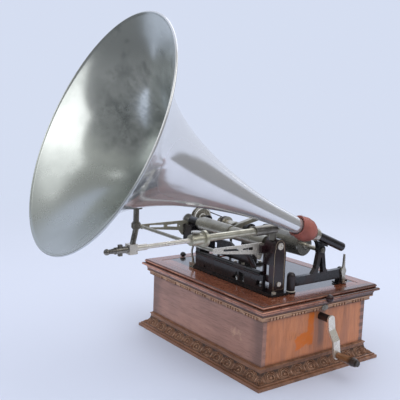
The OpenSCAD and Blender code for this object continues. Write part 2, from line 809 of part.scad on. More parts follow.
module gate_centre() {
    face = gate_x - gate_t / 2;
    color(nickel) {
        rod_x(6, face - 4, gate_x + gate_t / 2 + 4, mandrel_y, mandrel_z);
        rod_x(10, gate_x + gate_t / 2, gate_x + gate_t / 2 + 3, mandrel_y, mandrel_z);
        // cone that enters the hollow end of the spindle
        translate([face - 7, mandrel_y, mandrel_z]) rotate([0, 90, 0]) cylinder(d1 = 0, d2 = 6, h = 3.1);
    }
}

latch_pin_d = 5;
latch_y = gate_y + gate_span;
latch_z = gate_z + beam_h - 4;
stud_z = deck_z + gate_lift - 2.6;
module gate_latch() {
    x0 = gate_x + gate_t / 2 + seat_gap;
    color(nickel) {
        plate_x(x0, 3.4) union() {
            translate([latch_y, latch_z]) circle(d = 13.4);
            polygon([[latch_y - 5.6, latch_z + 3], [latch_y + 5.6, latch_z + 3],
                     [latch_y + 2.6, latch_z + 9], [latch_y + 1.2, latch_z + 34],
                     [latch_y - 1.2, latch_z + 34], [latch_y - 2.6, latch_z + 9]]);
            polygon([[latch_y - 5, latch_z - 4], [latch_y + 5, latch_z - 4],
                     [latch_y + 5.2, stud_z - 3], [latch_y + 10, stud_z - 2.6],
                     [latch_y + 9.5, stud_z - 4.6], [latch_y - 1, stud_z - 4.6]]);
        }
        rod_x(latch_pin_d, gate_x - gate_t / 2 - 1, x0 + 1, latch_y, latch_z);
        rod_x(latch_pin_d + 4, gate_x - gate_t / 2 - 2.5, gate_x - gate_t / 2 - seat_gap, latch_y, latch_z);
    }
}

// Mandrel, spindle and feed

module mandrel() {
    color(nickel) difference() {
        turned_x([[0, mandrel_x0], [mandrel_d1 / 2 - 1, mandrel_x0], [mandrel_d1 / 2, mandrel_x0 + 1],
                  [mandrel_d2 / 2, mandrel_x1 - 2], [mandrel_d2 / 2 - 2, mandrel_x1], [0, mandrel_x1]],
                 mandrel_y, mandrel_z, $fn = 96);
        rod_x(spindle_d + 0.1, mandrel_x0 - 1, mandrel_x1 + 1, mandrel_y, mandrel_z);
        // cored out from its left end, with a web and a boss on the spindle
        difference() {
            turned_x([[0, mandrel_x0 - 1], [mandrel_d1 / 2 - mandrel_wall, mandrel_x0 - 1],
                      [mandrel_d2 / 2 - mandrel_wall, mandrel_x1 - 8], [0, mandrel_x1 - 8]],
                     mandrel_y, mandrel_z, $fn = 96);
            rod_x(spindle_d + 8, mandrel_x1 - 24, mandrel_x1, mandrel_y, mandrel_z);
        }
    }
}

// A flanged pulley, as points of (radius, x)
function pulley_points(d, x, w, flange = 2) = [[0, x - w / 2 - 1.5], [d / 2 + flange, x - w / 2 - 1.5],
    [d / 2 + flange, x - w / 2 - 0.5], [d / 2, x - w / 2], [d / 2, x + w / 2],
    [d / 2 + flange, x + w / 2 + 0.5], [d / 2 + flange, x + w / 2 + 1.5], [0, x + w / 2 + 1.5]];

feed_pulley_d = 22;
module mandrel_spindle() {
    x_end = gate_x - gate_t / 2 - 6;
    color(nickel) difference() {
        union() {
            rod_x(spindle_d, idler_x - 6, mandrel_x1 + 4, mandrel_y, mandrel_z);
            rod_x(spindle_d - 3, mandrel_x1, x_end, mandrel_y, mandrel_z);
            rod_x(spindle_sleeve_d, belt_x + belt_w / 2 + 4, standard_x - seat_gap, mandrel_y, mandrel_z);
            rod_x(spindle_sleeve_d, standard_x + standard_t + seat_gap, mandrel_x0, mandrel_y, mandrel_z);
            turned_x(pulley_points(pulley_d, belt_x, belt_w + 1), mandrel_y, mandrel_z);
            turned_x(pulley_points(feed_pulley_d, idler_x, 6), mandrel_y, mandrel_z);
        }
        // hollow in the end for the centre
        translate([x_end - 4, mandrel_y, mandrel_z]) rotate([0, 90, 0]) cylinder(d1 = 0, d2 = 6, h = 4.1);
    }
}

gear_gap = 0.4;
feed_gear_r = 13.6;
idler_r = sqrt(pow(idler_y - tube_y, 2) + pow(idler_z - tube_z, 2)) - feed_gear_r - gear_gap;
idler_pulley_d = 34;
idler_flange = 5.5;
module idler_gear() {
    color(steel) difference() {
        union() {
            gear_x(idler_r, 46, idler_x + 5, gear_t, idler_y, idler_z, idler_pin_d);
            turned_x(pulley_points(idler_pulley_d, idler_x, 6, idler_flange), idler_y, idler_z);
            rod_x(14, idler_x - 4, idler_x + 11, idler_y, idler_z);
        }
        rod_x(idler_pin_d + 2 * run_clear, idler_x - 9, idler_x + 20, idler_y, idler_z);
    }
}

module feed_screw() {
    color(steel) {
        rod_x(feed_d, tube_x0 + 3.3, tube_x1 - 3.3, tube_y, tube_z);
        rod_x(journal_d, idler_x + 4, 0, tube_y, tube_z);
        rod_x(tail_d, 0, bed_x1 - 0.5, tube_y, tube_z);
        gear_x(feed_gear_r, 26, idler_x + 5, gear_t, tube_y, tube_z, 4);
        rod_x(10, idler_x + 9, block_x0 - seat_gap, tube_y, tube_z);
    }
}

// Belt round two pulleys with axes along X, between points (y0, z0) and (y1, z1)
module belt_loop(x, w, d0, d1, y0, z0, y1, z1) {
    dist = sqrt(pow(y1 - y0, 2) + pow(z1 - z0, 2));
    a = acos((d0 - d1) / 2 / dist);
    base = atan2(z1 - z0, y1 - y0);
    function outline(grow) = concat(arc(y1, z1, d1 / 2 + grow, base - a, base + a, 20),
                                    arc(y0, z0, d0 / 2 + grow, base + a, base + 360 - a, 20));
    plate_x(x - w / 2, w) difference() {
        polygon(outline(seat_gap + belt_t));
        polygon(outline(seat_gap));
    }
}
drive_pulley_d = 34;
module belts() {
    color([0.3, 0.18, 0.1]) {
        belt_loop(belt_x, belt_w, drive_pulley_d, pulley_d, mandrel_y, drive_z, mandrel_y, mandrel_z);
        belt_loop(idler_x, 5, idler_pulley_d, feed_pulley_d, idler_y, idler_z, mandrel_y, mandrel_z);
    }
}
// Carriage, reproducer arm and sound box

arm_x = sleeve_x0 + sleeve_l - 10;
lift_y = tube_y + 24;
lift_z = tube_z + 12;
lift_pin_d = 4;
module carriage() {
    bore = tube_d + 2 * run_clear;
    color(nickel) difference() {
        union() {
            turned_x([[tube_d / 2 - 2, sleeve_x0], [sleeve_d1 / 2, sleeve_x0],
                      [sleeve_d1 / 2, sleeve_x0 + 14], [sleeve_d2 / 2, sleeve_x0 + sleeve_l - 18],
                      [sleeve_d2 / 2, sleeve_x0 + sleeve_l], [tube_d / 2 - 2, sleeve_x0 + sleeve_l]],
                     tube_y, tube_z);
            // ears for the lift pin
            for (x = [arm_x - 9, arm_x + 5.5])
                plate_x(x, 3.5) {
                    translate([lift_y, lift_z]) circle(d = 10);
                    polygon([[tube_y + 8, tube_z], [tube_y + 13.5, tube_z - 2], [lift_y + 5, lift_z],
                             [lift_y - 2, lift_z + 4.5], [tube_y + 6, tube_z + 12]]);
                }
            rod_x(lift_pin_d, arm_x - 8, arm_x + 8, lift_y, lift_z);
        }
        rod_x(bore, sleeve_x0 - 1, sleeve_x0 + sleeve_l + 1, tube_y, tube_z);
    }
    // half nut, through the slot of the guide tube to the feed screw
    color(brass) difference() {
        translate([arm_x - 7, tube_y + feed_d / 2 - 1, tube_z - nut_slot / 2 + 0.3])
            cube([14, tube_d / 2 - feed_d / 2 + 1.8, nut_slot - 0.6]);
        rod_x(feed_d + 0.3, arm_x - 9, arm_x + 9, tube_y, tube_z);
    }
}

box_y = mandrel_y;
box_z = mandrel_z + mandrel_d1 / 2 + 12;
module reproducer_arm() {
    color(nickel) difference() {
        union() {
            rod_x(9, arm_x - 5, arm_x + 5, lift_y, lift_z);
            plate_x(arm_x - 5, 10)
                polygon([[lift_y - 3, lift_z + 2], [lift_y + 2, lift_z - 4], [box_y - 20, box_z],
                         [box_y - 18, box_z + box_t]]);
            translate([arm_x, box_y, box_z]) cylinder(d = box_d + 7, h = box_t - 2);
        }
        rod_x(lift_pin_d + 2 * run_clear, arm_x - 6, arm_x + 6, lift_y, lift_z);
        translate([arm_x, box_y, box_z - 1]) cylinder(d = box_d + 0.1, h = box_t + 9);
    }
}

module sound_box() {
    color(nickel) translate([arm_x, box_y, box_z - 2]) {
        rotate_extrude() polygon([[0, 1], [box_d / 2 - 3, 1], [box_d / 2 - 3, 0], [box_d / 2, 0],
            [box_d / 2, box_t], [box_d / 2 - 4, box_t + 2], [9, box_t + 2], [8, box_t + 8],
            [6, box_t + 8], [6, box_t - 1], [0, box_t - 1]]);
        // stylus lever and its weight under the diaphragm
        translate([-3, -14, -3.4]) cube([6, 20, 3.5]);
        translate([0, 0, -7.5]) cylinder(d1 = 1.2, d2 = 3, h = 4.2);
        cylinder(d = 4, h = 1.2);
        translate([0, -9, -0.2]) cylinder(d = 5, h = 1.4);
    }
}

// Horn, held on its own slanted axis: +Z of the horn frame runs from the rim to the neck

horn_rim = [135, -443, deck_z + 297];
horn_dir = [sin(horn_turn) * cos(horn_rise), cos(horn_turn) * cos(horn_rise), -sin(horn_rise)];
function horn_at_y(y) = (y - horn_rim[1]) / horn_dir[1];
function horn_z(t) = horn_rim[2] + t * horn_dir[2];
function pad_z(y) = horn_axis_z(y) - (sound_d / 2 + seat_gap) / cos(horn_rise);
module on_horn() {
    translate(horn_rim) rotate([0, 0, -horn_turn]) rotate([-90 - horn_rise, 0, 0]) children();
}

// Outer radius of the horn at a distance behind the rim
flare_floor = -104.35;
flare_power = 0.4754;
function bell_at(t) = max(1, flare_floor + (bell_r - flare_floor) / pow(1 + t / flare_l, flare_power));
function neck_at(t) = neck_r + neck_taper * (horn_l - t);
// The bell runs into the neck in a soft curve
blend = 10;
function flare(t) = pow(pow(bell_at(t), blend) + pow(neck_at(t), blend), 1 / blend);
// Steps along the horn, closer together near the rim
horn_steps = 30;
function horn_t(i) = horn_l * pow(i / horn_steps, 1.7);

module horn_bell() {
    outer = [for (i = [0:horn_steps]) [flare(horn_t(i)), horn_t(i)]];
    inner = [for (i = [horn_steps:-1:0]) [flare(horn_t(i)) - horn_wall, horn_t(i) + (i == 0 ? -0.2 : 0)]];
    color([0.72, 0.72, 0.73]) on_horn() rotate_extrude($fn = 120) {
        polygon(concat(outer, inner));
        translate([bell_r, 0]) circle(r = rim_r, $fn = 24);
    }
}

// Distances along the horn of the pieces behind it
leather_t0 = 433;
ring_t0 = leather_t0 + leather_l - 4;
ring_l = 16;
tube_t1 = 560;
module leather_sleeve() {
    // drawn from inside front, round the flared lip, to the gathered back
    r = leather_d / 2;
    bore = flare(leather_t0) + seat_gap;
    lip = bore + leather_lip;
    color([0.5, 0.26, 0.2]) on_horn() rotate_extrude() polygon(concat(
        [[bore, leather_t0 + 5], [lip - 2.5, leather_t0]],
        [[lip + 0.5, leather_t0 - 2], [lip + 1, leather_t0], [lip, leather_t0 + 4]],
        [[r * 0.95, leather_t0 + leather_l * 0.27], [r, leather_t0 + leather_l * 0.45],
         [r * 0.95, leather_t0 + leather_l * 0.64], [r * 0.78, leather_t0 + leather_l * 0.83],
         [11.6, leather_t0 + leather_l], [9.2, leather_t0 + leather_l]],
        [[bore, leather_t0 + leather_l * 0.6]]));
}

module tube_ring() {
    color(nickel) on_horn() translate([0, 0, ring_t0]) rotate_extrude() polygon([
        [sound_d / 2 + 0.05, 4.1], [11.5, 4.1], [12.5, 5], [12.5, ring_l - 5], [11.3, ring_l - 4],
        [11.3, ring_l - 1], [10.6, ring_l], [sound_d / 2 + 0.05, ring_l]]);
}

module sound_tube() {
    color(iron) on_horn() difference() {
        translate([0, 0, ring_t0 + 4.2]) cylinder(d = sound_d, h = tube_t1 - ring_t0 - 4.2);
        translate([0, 0, ring_t0]) cylinder(d = sound_d - 4, h = tube_t1 - ring_t0 + 1);
    }
}

// Horn crane: its own frame runs from the socket to the front, +Z forwards along the tube

crane_z = deck_z + crane_h;
socket_y = tube_y - 4;
socket_l = 50;
module on_crane(s) {
    translate([crane_x, socket_y, crane_z]) rotate([90 + crane_fall, 0, 0]) translate([0, 0, s]) children();
}
collar_s = socket_l + crane_tube_l;
post_s = collar_s + crane_reach;

module crane_socket() {
    color([0.2, 0.19, 0.18]) difference() {
        union() {
            on_crane(-2) cylinder(d = 18, h = socket_l);
            on_crane(-5) cylinder(d = 14, h = 5);
            // stem that stands on the pedestal
            translate([crane_x, tube_y - 6, tube_z + boss_r - 3])
                cylinder(d = 13, h = crane_z - tube_z - boss_r);
        }
        on_crane(6) cylinder(d = crane_d + 0.04, h = socket_l);
        rod_x(2 * boss_r, crane_x - 20, crane_x + 20, tube_y, tube_z);
    }
}

module crane_tube() {
    color(nickel) difference() {
        union() {
            on_crane(6) cylinder(d = crane_d, h = collar_s - 6);
            on_crane(collar_s - 4) cylinder(d = 28, h = 5);
            on_crane(collar_s) cylinder(d = 19, h = 27);
        }
        on_crane(40) cylinder(d = crane_rod_d + 2 * run_clear, h = post_s);
        // threaded hole for the thumb screw, from above
        on_crane(collar_s + 15) rotate([-90, 0, 0]) cylinder(d = 4.04, h = 20);
    }
}

module crane_thumb_screw() {
    color(nickel) on_crane(collar_s + 15) rotate([-90, 0, 0]) {
        translate([0, 0, crane_rod_d / 2 + 0.2]) cylinder(d = 4, h = 9);
        translate([0, 0, 10]) cylinder(d = 8, h = 4);
        translate([0, 0, 11.4]) cylinder(d = 17, h = 2.6);
    }
}

crane_slide = 40;
module crane_rod() {
    color(nickel) {
        on_crane(collar_s - 50) cylinder(d = crane_rod_d, h = post_s - collar_s + 50);
        on_crane(post_s - 27) cylinder(d = crane_rod_d + 2.6, h = 20);
    }
}

clamp_l = 14;
module crane_clamp() {
    color(nickel) difference() {
        on_crane(post_s - 7) translate([-7.5, -8, 0]) cube([15, 16, clamp_l]);
        on_crane(post_s - 8) cylinder(d = crane_rod_d + 0.04, h = 8.1);
        on_crane(post_s) cylinder(d = 6.04, h = clamp_l);
    }
}

module clamp_lever() {
    color(nickel) on_crane(post_s + 1.2) {
        cylinder(d = 6, h = 8);
        translate([0, 0, 6 + seat_gap]) cylinder(d = 11, h = 22, $fn = 24);
        translate([-2.5, -9, 16]) cube([5, 18, 6]);
        translate([0, 0, 28]) cylinder(d1 = 9, d2 = 7, h = 10);
        translate([0, 0, 42]) sphere(d = 10);
    }
}

// Horn post: a leaning lower tube, a collar nut and an upright tube with a flange
post_lean = 13;
lower_l = 32;
post_base = [crane_x, socket_y - post_s * cos(crane_fall), crane_z - post_s * sin(crane_fall)];
post_knee = post_base + [0, lower_l * sin(post_lean), lower_l * cos(post_lean) + 6];
under_t = 112;
function under_z(t) = horn_z(t) - flare(t) * cos(horn_rise);
// The flange stays just under the sloping underside of the horn
flange_z = under_z(under_t) - 0.8;
module horn_post() {
    color([0.45, 0.43, 0.4]) {
        difference() {
            translate(post_base) rotate([-post_lean, 0, 0]) cylinder(d = 9, h = lower_l + 6);
            on_crane(post_s - 8) translate([-8, -8.02, 0]) cube([16, 16.04, clamp_l + 2]);
        }
        translate(post_knee - [0, 0, 2]) cylinder(d = 9, h = flange_z - post_knee[2]);
        translate([post_knee[0], post_knee[1], flange_z - 2.4]) cylinder(d = 19, h = 2.4);
    }
}

module horn_post_nut() {
    color(nickel) difference() {
        union() {
            translate(post_knee - [0, 0, 4]) cylinder(d = 15, h = 7, $fn = 24);
            translate(post_knee - [0, 0, 6]) cylinder(d = 12, h = 11);
        }
        translate(post_base) rotate([-post_lean, 0, 0]) cylinder(d = 9.1, h = lower_l + 6);
        translate(post_knee - [0, 0, 2]) cylinder(d = 9.1, h = 20);
    }
}

// Front bail: two slotted arms on a common pivot, joined by a bar

bail_rise = 3;
hub_r = 11;
module bail_side() {
    tip = [bail_y - bail_l, bail_z + bail_l * tan(bail_rise)];
    difference() {
        union() {
            translate([bail_y, bail_z]) circle(r = hub_r);
            translate(tip) circle(r = 5);
            polygon([[bail_y, bail_z + 10.9], [bail_y, bail_z - 9], [bail_y - 16, bail_z - 9.4],
                     [tip[0], tip[1] - 4.9], [tip[0], tip[1] + 4.9]]);
            // lobe under the hub
            polygon([[bail_y + 8, bail_z - 5], [bail_y + 1, bail_z - 18], [bail_y - 2, bail_z - 21],
                     [bail_y - 6, bail_z - 20], [bail_y - 17, bail_z - 7]]);
        }
        translate([bail_y, bail_z]) circle(d = bail_pin_d + 2 * run_clear);
        // two long windows
        polygon([[bail_y - 18, bail_z - 2], [bail_y - 18, bail_z + 5], [bail_y - 44, bail_z + 4],
                 [bail_y - 44, bail_z + 1]]);
        polygon([[bail_y - 52, bail_z], [bail_y - 52, bail_z + 5.4], [bail_y - 88, bail_z + 7],
                 [bail_y - 88, bail_z + 2.6]]);
        translate([bail_y - 13, bail_z]) circle(d = 3);
    }
}

bail_pin_d = 9;
// One arm with the stud of its lobe, which stands out on its outer face
module bail_arm(x, stud_x) {
    plate_x(x, bail_t) bail_side();
    rod_x(5, stud_x, stud_x + bail_t + 1.2, bail_y - 3, bail_z - 15.5);
}

module bail_arm_right() {
    color(nickel) {
        bail_arm(bail_x1 - bail_t, bail_x1 - bail_t);
        rod_x(stay_pin_d, bail_x1 - bail_t - stay_d - 1, bail_x1, stay_y, stay_z);
    }
}

module bail_arm_left() {
    color(nickel) bail_arm(bail_x0, bail_x0 - 1.2);
}

module bail_bar() {
    tip = [bail_y - bail_l, bail_z + bail_l * tan(bail_rise)];
    color(nickel) difference() {
        rod_x(bail_bar_d, bail_x0 + bail_t, bail_x1 - bail_t, tip[0], tip[1]);
    }
}

// Round stay that hangs on the inside of the right bail arm
stay_d = 9;
stay_pin_d = 4;
stay_l = 34;
stay_lean = 33;
stay_y = bail_y - 29;
stay_z = bail_z - 4;
module bail_stay() {
    x = bail_x1 - bail_t - stay_d / 2 - seat_gap;
    color(iron) difference() {
        translate([x, stay_y, stay_z]) rotate([180 + stay_lean, 0, 0]) union() {
            sphere(d = stay_d);
            cylinder(d = stay_d, h = stay_l);
            translate([0, 0, stay_l]) sphere(d = stay_d);
        }
        rod_x(stay_pin_d + 2 * run_clear, x - stay_d, x + stay_d, stay_y, stay_z);
    }
}

// Start lever

module lever_foot() {
    color(nickel) difference() {
        translate([lever_x - 9, lever_y - 4, panel_top]) cube([18, 8, 9]);
        translate([lever_x - 6.5, lever_y - 1.8, panel_top - 1]) cube([13, 3.6, 11]);
        translate([lever_x, lever_y - 5, panel_top + 5.5]) rotate([-90, 0, 0])
            cylinder(d = 3 + 2 * run_clear, h = 10);
    }
}

module start_lever() {
    y0 = lever_y - 1.5;
    color(nickel) translate([lever_x, 0, panel_top + 5.5]) {
        translate([0, lever_y - 3.8, 0]) rotate([-90, 0, 0]) cylinder(d = 3, h = 7.6);
        plate_y(y0, 3) difference() {
            union() {
                circle(d = 7);
                polygon([[-3, 0], [3, 0], [1, 10], [-4, 20], [-5, 28], [-1, 38], [-4, 40], [-8, 28],
                         [-7, 18], [-3, 10]]);
                polygon([[-1.5, 0], [1.5, 0], [1.5, -28], [-1.5, -28]]);
            }
        }
    }
}

// Crank

hub_x0 = case_l / 2 + 1.6 + seat_gap;
hub_x1 = case_l / 2 + 25;
stub_x0 = case_l / 2 - board_t - 15;
module crank_hub() {
    color(iron) {
        rod_x(shaft_d, stub_x0, hub_x1, crank_y, crank_z);
        rod_x(14, hub_x0, hub_x1, crank_y, crank_z);
    }
}

module on_crank() {
    translate([hub_x1, crank_y, crank_z]) rotate([crank_lean, 0, 0]) children();
}

module crank_arm() {
    t = crank_t;
    b = crank_bend;
    w = crank_w;
    color(nickel) on_crank() {
        intersection() {
            // side view: straight, an outward bend, straight
            translate([0, w / 2, 0]) rotate([90, 0, 0]) linear_extrude(w)
                polygon([[0, w / 2], [t, w / 2], [t, -20], [t + b, -40], [t + b, -crank_len - w / 2],
                         [b, -crank_len - w / 2], [b, -40.5], [0, -20.5]]);
            // front view: rounded at both ends
            plate_x(-1, b + t + 2) {
                circle(d = w);
                translate([0, -crank_len]) circle(d = w);
                translate([-w / 2, -crank_len]) square([w, crank_len]);
            }
        }
        // fixed pin and end nut of the grip
        rod_x(6, b + 0.5, b + t + grip_l + 3, 0, -crank_len);
        rod_x(11, b + t + grip_l + 2 * seat_gap, b + t + grip_l + 3.4, 0, -crank_len);
    }
}

module crank_handle() {
    x0 = crank_bend + crank_t + seat_gap;
    color([0.45, 0.26, 0.13]) on_crank() turned_x([
        [3 + run_clear, x0], [5.5, x0], [6.5, x0 + 2], [6.2, x0 + 6], [grip_d / 2 - 1.2, x0 + grip_l * 0.55],
        [grip_d / 2, x0 + grip_l * 0.8], [grip_d / 2 - 0.8, x0 + grip_l * 0.94], [6.5, x0 + grip_l],
        [3 + run_clear, x0 + grip_l]], 0, -crank_len);
}

// Spring motor under the deck

side_x0 = -30;
side_x1 = 62;
drive_y = mandrel_y;
governor_y = 76;
governor_z = case_h - 65;
panel_under = panel_top - panel_t;
arbor_d = 8;
drive_d = 6;
governor_d = 4;
pillar_d = 6;

module motor_side(wind_d) {
    difference() {
        polygon([[barrel_y - 46, panel_under], [governor_y + 18, panel_under], [governor_y + 18, case_h - 84],
                 [governor_y, case_h - 88], [barrel_y - 10, case_h - 93], [barrel_y - 46, case_h - 81]]);
        translate([barrel_y, barrel_z]) circle(d = arbor_d + 2 * run_clear);
        translate([drive_y, drive_z]) circle(d = drive_d + 2 * run_clear);
        translate([governor_y, governor_z]) circle(d = governor_d + 2 * run_clear);
        translate([crank_y, crank_z]) circle(d = wind_d + 2 * run_clear);
    }
}

wind_d = 6;
pawl_y = barrel_y - 17;
pawl_z = barrel_z + 18;
module motor_frame() {
    color(steel) {
        plate_x(side_x0, plate_t) motor_side(wind_d);
        plate_x(side_x1 - plate_t, plate_t) motor_side(shaft_d);
        // pin of the pawl, and two pillars between the plates
        rod_x(3.4, ratchet_x - 0.6, side_x1 - 1, pawl_y, pawl_z);
        for (p = [[barrel_y - 39, barrel_z - 25], [governor_y + 14.2, governor_z - 16.2]])
            rod_x(pillar_d, side_x0 + 1, side_x1 - 1, p[0], p[1]);
        translate([side_x0, barrel_y - 46, panel_under - plate_t])
            cube([side_x1 - side_x0, governor_y - barrel_y + 64, plate_t]);
    }
}

barrel_x0 = side_x0 + plate_t + 4;
rim_gear_r = 39;
drive_pinion_r = norm([drive_y - barrel_y, drive_z - barrel_z]) - rim_gear_r - gear_gap;
module spring_barrel() {
    wall = 2;
    color(brass) difference() {
        union() {
            rod_x(spring_d, barrel_x0, barrel_x0 + spring_w, barrel_y, barrel_z);
            gear_x(rim_gear_r, 80, barrel_x0, gear_t, barrel_y, barrel_z, 20);
        }
        rod_x(spring_d - 2 * wall, barrel_x0 + wall, barrel_x0 + spring_w - wall, barrel_y, barrel_z);
        rod_x(arbor_d + 2 * run_clear, barrel_x0 - 1, barrel_x0 + spring_w + 1, barrel_y, barrel_z);
    }
}

// The wound spring: a flat strip in a spiral, drawn as one ribbon
spring_turns = 9;
module mainspring() {
    r0 = arbor_d / 2 + 1.5;
    r1 = spring_d / 2 - 2 - spring_t - 1;
    n = 24 * spring_turns;
    mid = [for (i = [0:n]) r0 + (r1 - r0) * i / n];
    color(steel) plate_x(barrel_x0 + 3, spring_w - 6) translate([barrel_y, barrel_z])
        polygon(concat(
            [for (i = [0:n]) [mid[i] * cos(15 * i), mid[i] * sin(15 * i)]],
            [for (i = [n:-1:0]) [(mid[i] + spring_t) * cos(15 * i), (mid[i] + spring_t) * sin(15 * i)]]));
}

wind_gear_x = barrel_x0 + spring_w + 4;
ratchet_x = side_x1 - plate_t - 8;
wind_pinion_r = 11;
wind_gear_r = norm([crank_y - barrel_y, crank_z - barrel_z]) - wind_pinion_r - gear_gap;
module barrel_arbor() {
    color(steel) {
        rod_x(arbor_d, side_x0 - 3, side_x1 + 3, barrel_y, barrel_z);
        gear_x(wind_gear_r, 57, wind_gear_x, gear_t, barrel_y, barrel_z, 6);
        gear_x(ratchet_r, 16, ratchet_x, gear_t, barrel_y, barrel_z, 6);
    }
}

ratchet_r = 14;
module pawl() {
    color(steel) difference() {
        union() {
            rod_x(9, ratchet_x + 0.3, ratchet_x + gear_t + 1, pawl_y, pawl_z);
            plate_x(ratchet_x + 0.3, gear_t - 0.6) polygon([[pawl_y - 1, pawl_z + 3.6], [barrel_y - 1, barrel_z + ratchet_r + 3.4],
                     [barrel_y, barrel_z + ratchet_r + 0.5], [barrel_y - 5, barrel_z + ratchet_r + 1],
                     [pawl_y - 1, pawl_z - 3.6]]);
        }
        rod_x(3.4 + 2 * run_clear, ratchet_x - 1, ratchet_x + gear_t + 2, pawl_y, pawl_z);
    }
}

module winding_arbor() {
    color(steel) {
        rod_x(wind_d, side_x0 - 2, side_x1, crank_y, crank_z);
        rod_x(shaft_d, wind_gear_x + gear_t, stub_x0 - 1.2, crank_y, crank_z);
        gear_x(wind_pinion_r, 20, wind_gear_x - 1, gear_t + 2, crank_y, crank_z, 5);
    }
}

big_gear_x = side_x0 - 8;
governor_pinion_r = 6;
big_gear_r = norm([governor_y - drive_y, governor_z - drive_z]) - governor_pinion_r - gear_gap;
module drive_shaft() {
    color(steel) {
        rod_x(drive_d, belt_x - 8, side_x1 + 3, drive_y, drive_z);
        gear_x(drive_pinion_r, 26, barrel_x0 - 1, gear_t + 2, drive_y, drive_z, 4);
        gear_x(big_gear_r, 88, big_gear_x, gear_t, drive_y, drive_z, 4);
        turned_x(pulley_points(drive_pulley_d, belt_x, belt_w + 1), drive_y, drive_z);
    }
}

module governor() {
    mid = (side_x0 + side_x1) / 2;
    color(brass) {
        rod_x(governor_d, big_gear_x - 2, side_x1 + 2, governor_y, governor_z);
        gear_x(governor_pinion_r, 12, big_gear_x - 1, gear_t + 2, governor_y, governor_z, 3);
        rod_x(28, mid - 24, mid - 21, governor_y, governor_z);
        rod_x(10, mid - 22, mid - 14, governor_y, governor_z);
        rod_x(10, mid + 14, mid + 20, governor_y, governor_z);
        // three weights, each on a flat spring from collar to collar
        for (a = [0:120:240])
            translate([mid, governor_y, governor_z]) rotate([a, 0, 0]) {
                translate([0, 13, 0]) sphere(d = 9);
                translate([0, 0, -1.5]) linear_extrude(3) polygon(concat(
                    [for (i = [-8:8]) [i * 2.1, 4.4 + 9 * pow(cos(i * 11.2), 2)]],
                    [for (i = [8:-1:-8]) [i * 2.1, 3.6 + 9 * pow(cos(i * 11.2), 2)]]));
            }
    }
}

case_long_panels();
case_left();
case_right();
case_bottom();
plinth_mouldings();
cornice_strips();
crank_escutcheon();
hinge_case_leaves();
deck_panel();
deck_frame();
hinge_deck_leaves();
bedplate();
right_pedestal();
spindle_standard();
bed_screws();
guide_tube();
gate_pivot_post();
gate_rest_post();
crane_socket();
crane_tube();
lever_foot();
belts();
motor_frame();
horn_bell();
leather_sleeve();
tube_ring();
sound_tube();
crane_rod();
crane_clamp();
horn_post();
horn_post_nut();
clamp_lever();
crane_thumb_screw();
bail_arm_right();
bail_arm_left();
bail_bar();
bail_stay();
gate_arm();
gate_centre();
gate_latch();
mandrel();
mandrel_spindle();
idler_gear();
feed_screw();
carriage();
reproducer_arm();
sound_box();
crank_hub();
crank_arm();
crank_handle();
spring_barrel();
mainspring();
barrel_arbor();
pawl();
winding_arbor();
drive_shaft();
governor();
start_lever();
deck_catch();
speed_knob();
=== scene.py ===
"""Looks of a horn phonograph for cylinders: finishes, carving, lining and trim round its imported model."""

import json
import logging
import math
from dataclasses import dataclass, field
from enum import Enum
from typing import Any, Callable, Iterable, Sequence

import bmesh
import bpy
from mathutils import Matrix, Vector

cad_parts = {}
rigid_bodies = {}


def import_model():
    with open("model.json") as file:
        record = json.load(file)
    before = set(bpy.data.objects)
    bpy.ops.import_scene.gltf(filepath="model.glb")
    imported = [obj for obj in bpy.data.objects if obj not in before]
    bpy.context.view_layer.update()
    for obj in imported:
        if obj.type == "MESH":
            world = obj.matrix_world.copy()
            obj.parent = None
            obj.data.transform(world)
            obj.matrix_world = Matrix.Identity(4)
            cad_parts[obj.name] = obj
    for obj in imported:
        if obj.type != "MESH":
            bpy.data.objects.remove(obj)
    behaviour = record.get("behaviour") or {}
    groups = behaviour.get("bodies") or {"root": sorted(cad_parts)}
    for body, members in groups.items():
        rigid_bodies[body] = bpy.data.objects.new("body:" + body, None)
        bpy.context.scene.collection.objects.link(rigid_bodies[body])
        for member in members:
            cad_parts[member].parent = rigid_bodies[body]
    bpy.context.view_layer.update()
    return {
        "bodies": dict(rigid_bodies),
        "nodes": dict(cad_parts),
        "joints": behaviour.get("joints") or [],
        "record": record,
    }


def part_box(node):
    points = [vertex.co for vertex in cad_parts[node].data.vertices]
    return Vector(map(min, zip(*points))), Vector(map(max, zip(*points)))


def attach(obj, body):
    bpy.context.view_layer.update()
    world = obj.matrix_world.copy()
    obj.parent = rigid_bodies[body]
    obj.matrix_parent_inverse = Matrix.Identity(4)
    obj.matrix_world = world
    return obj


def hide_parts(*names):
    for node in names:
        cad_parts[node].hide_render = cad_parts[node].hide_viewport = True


LOG = logging.getLogger("phonograph")
Point = tuple[float, float, float]
Colour = tuple[float, float, float]
Materials = dict[str, bpy.types.Material]


# Shader maths


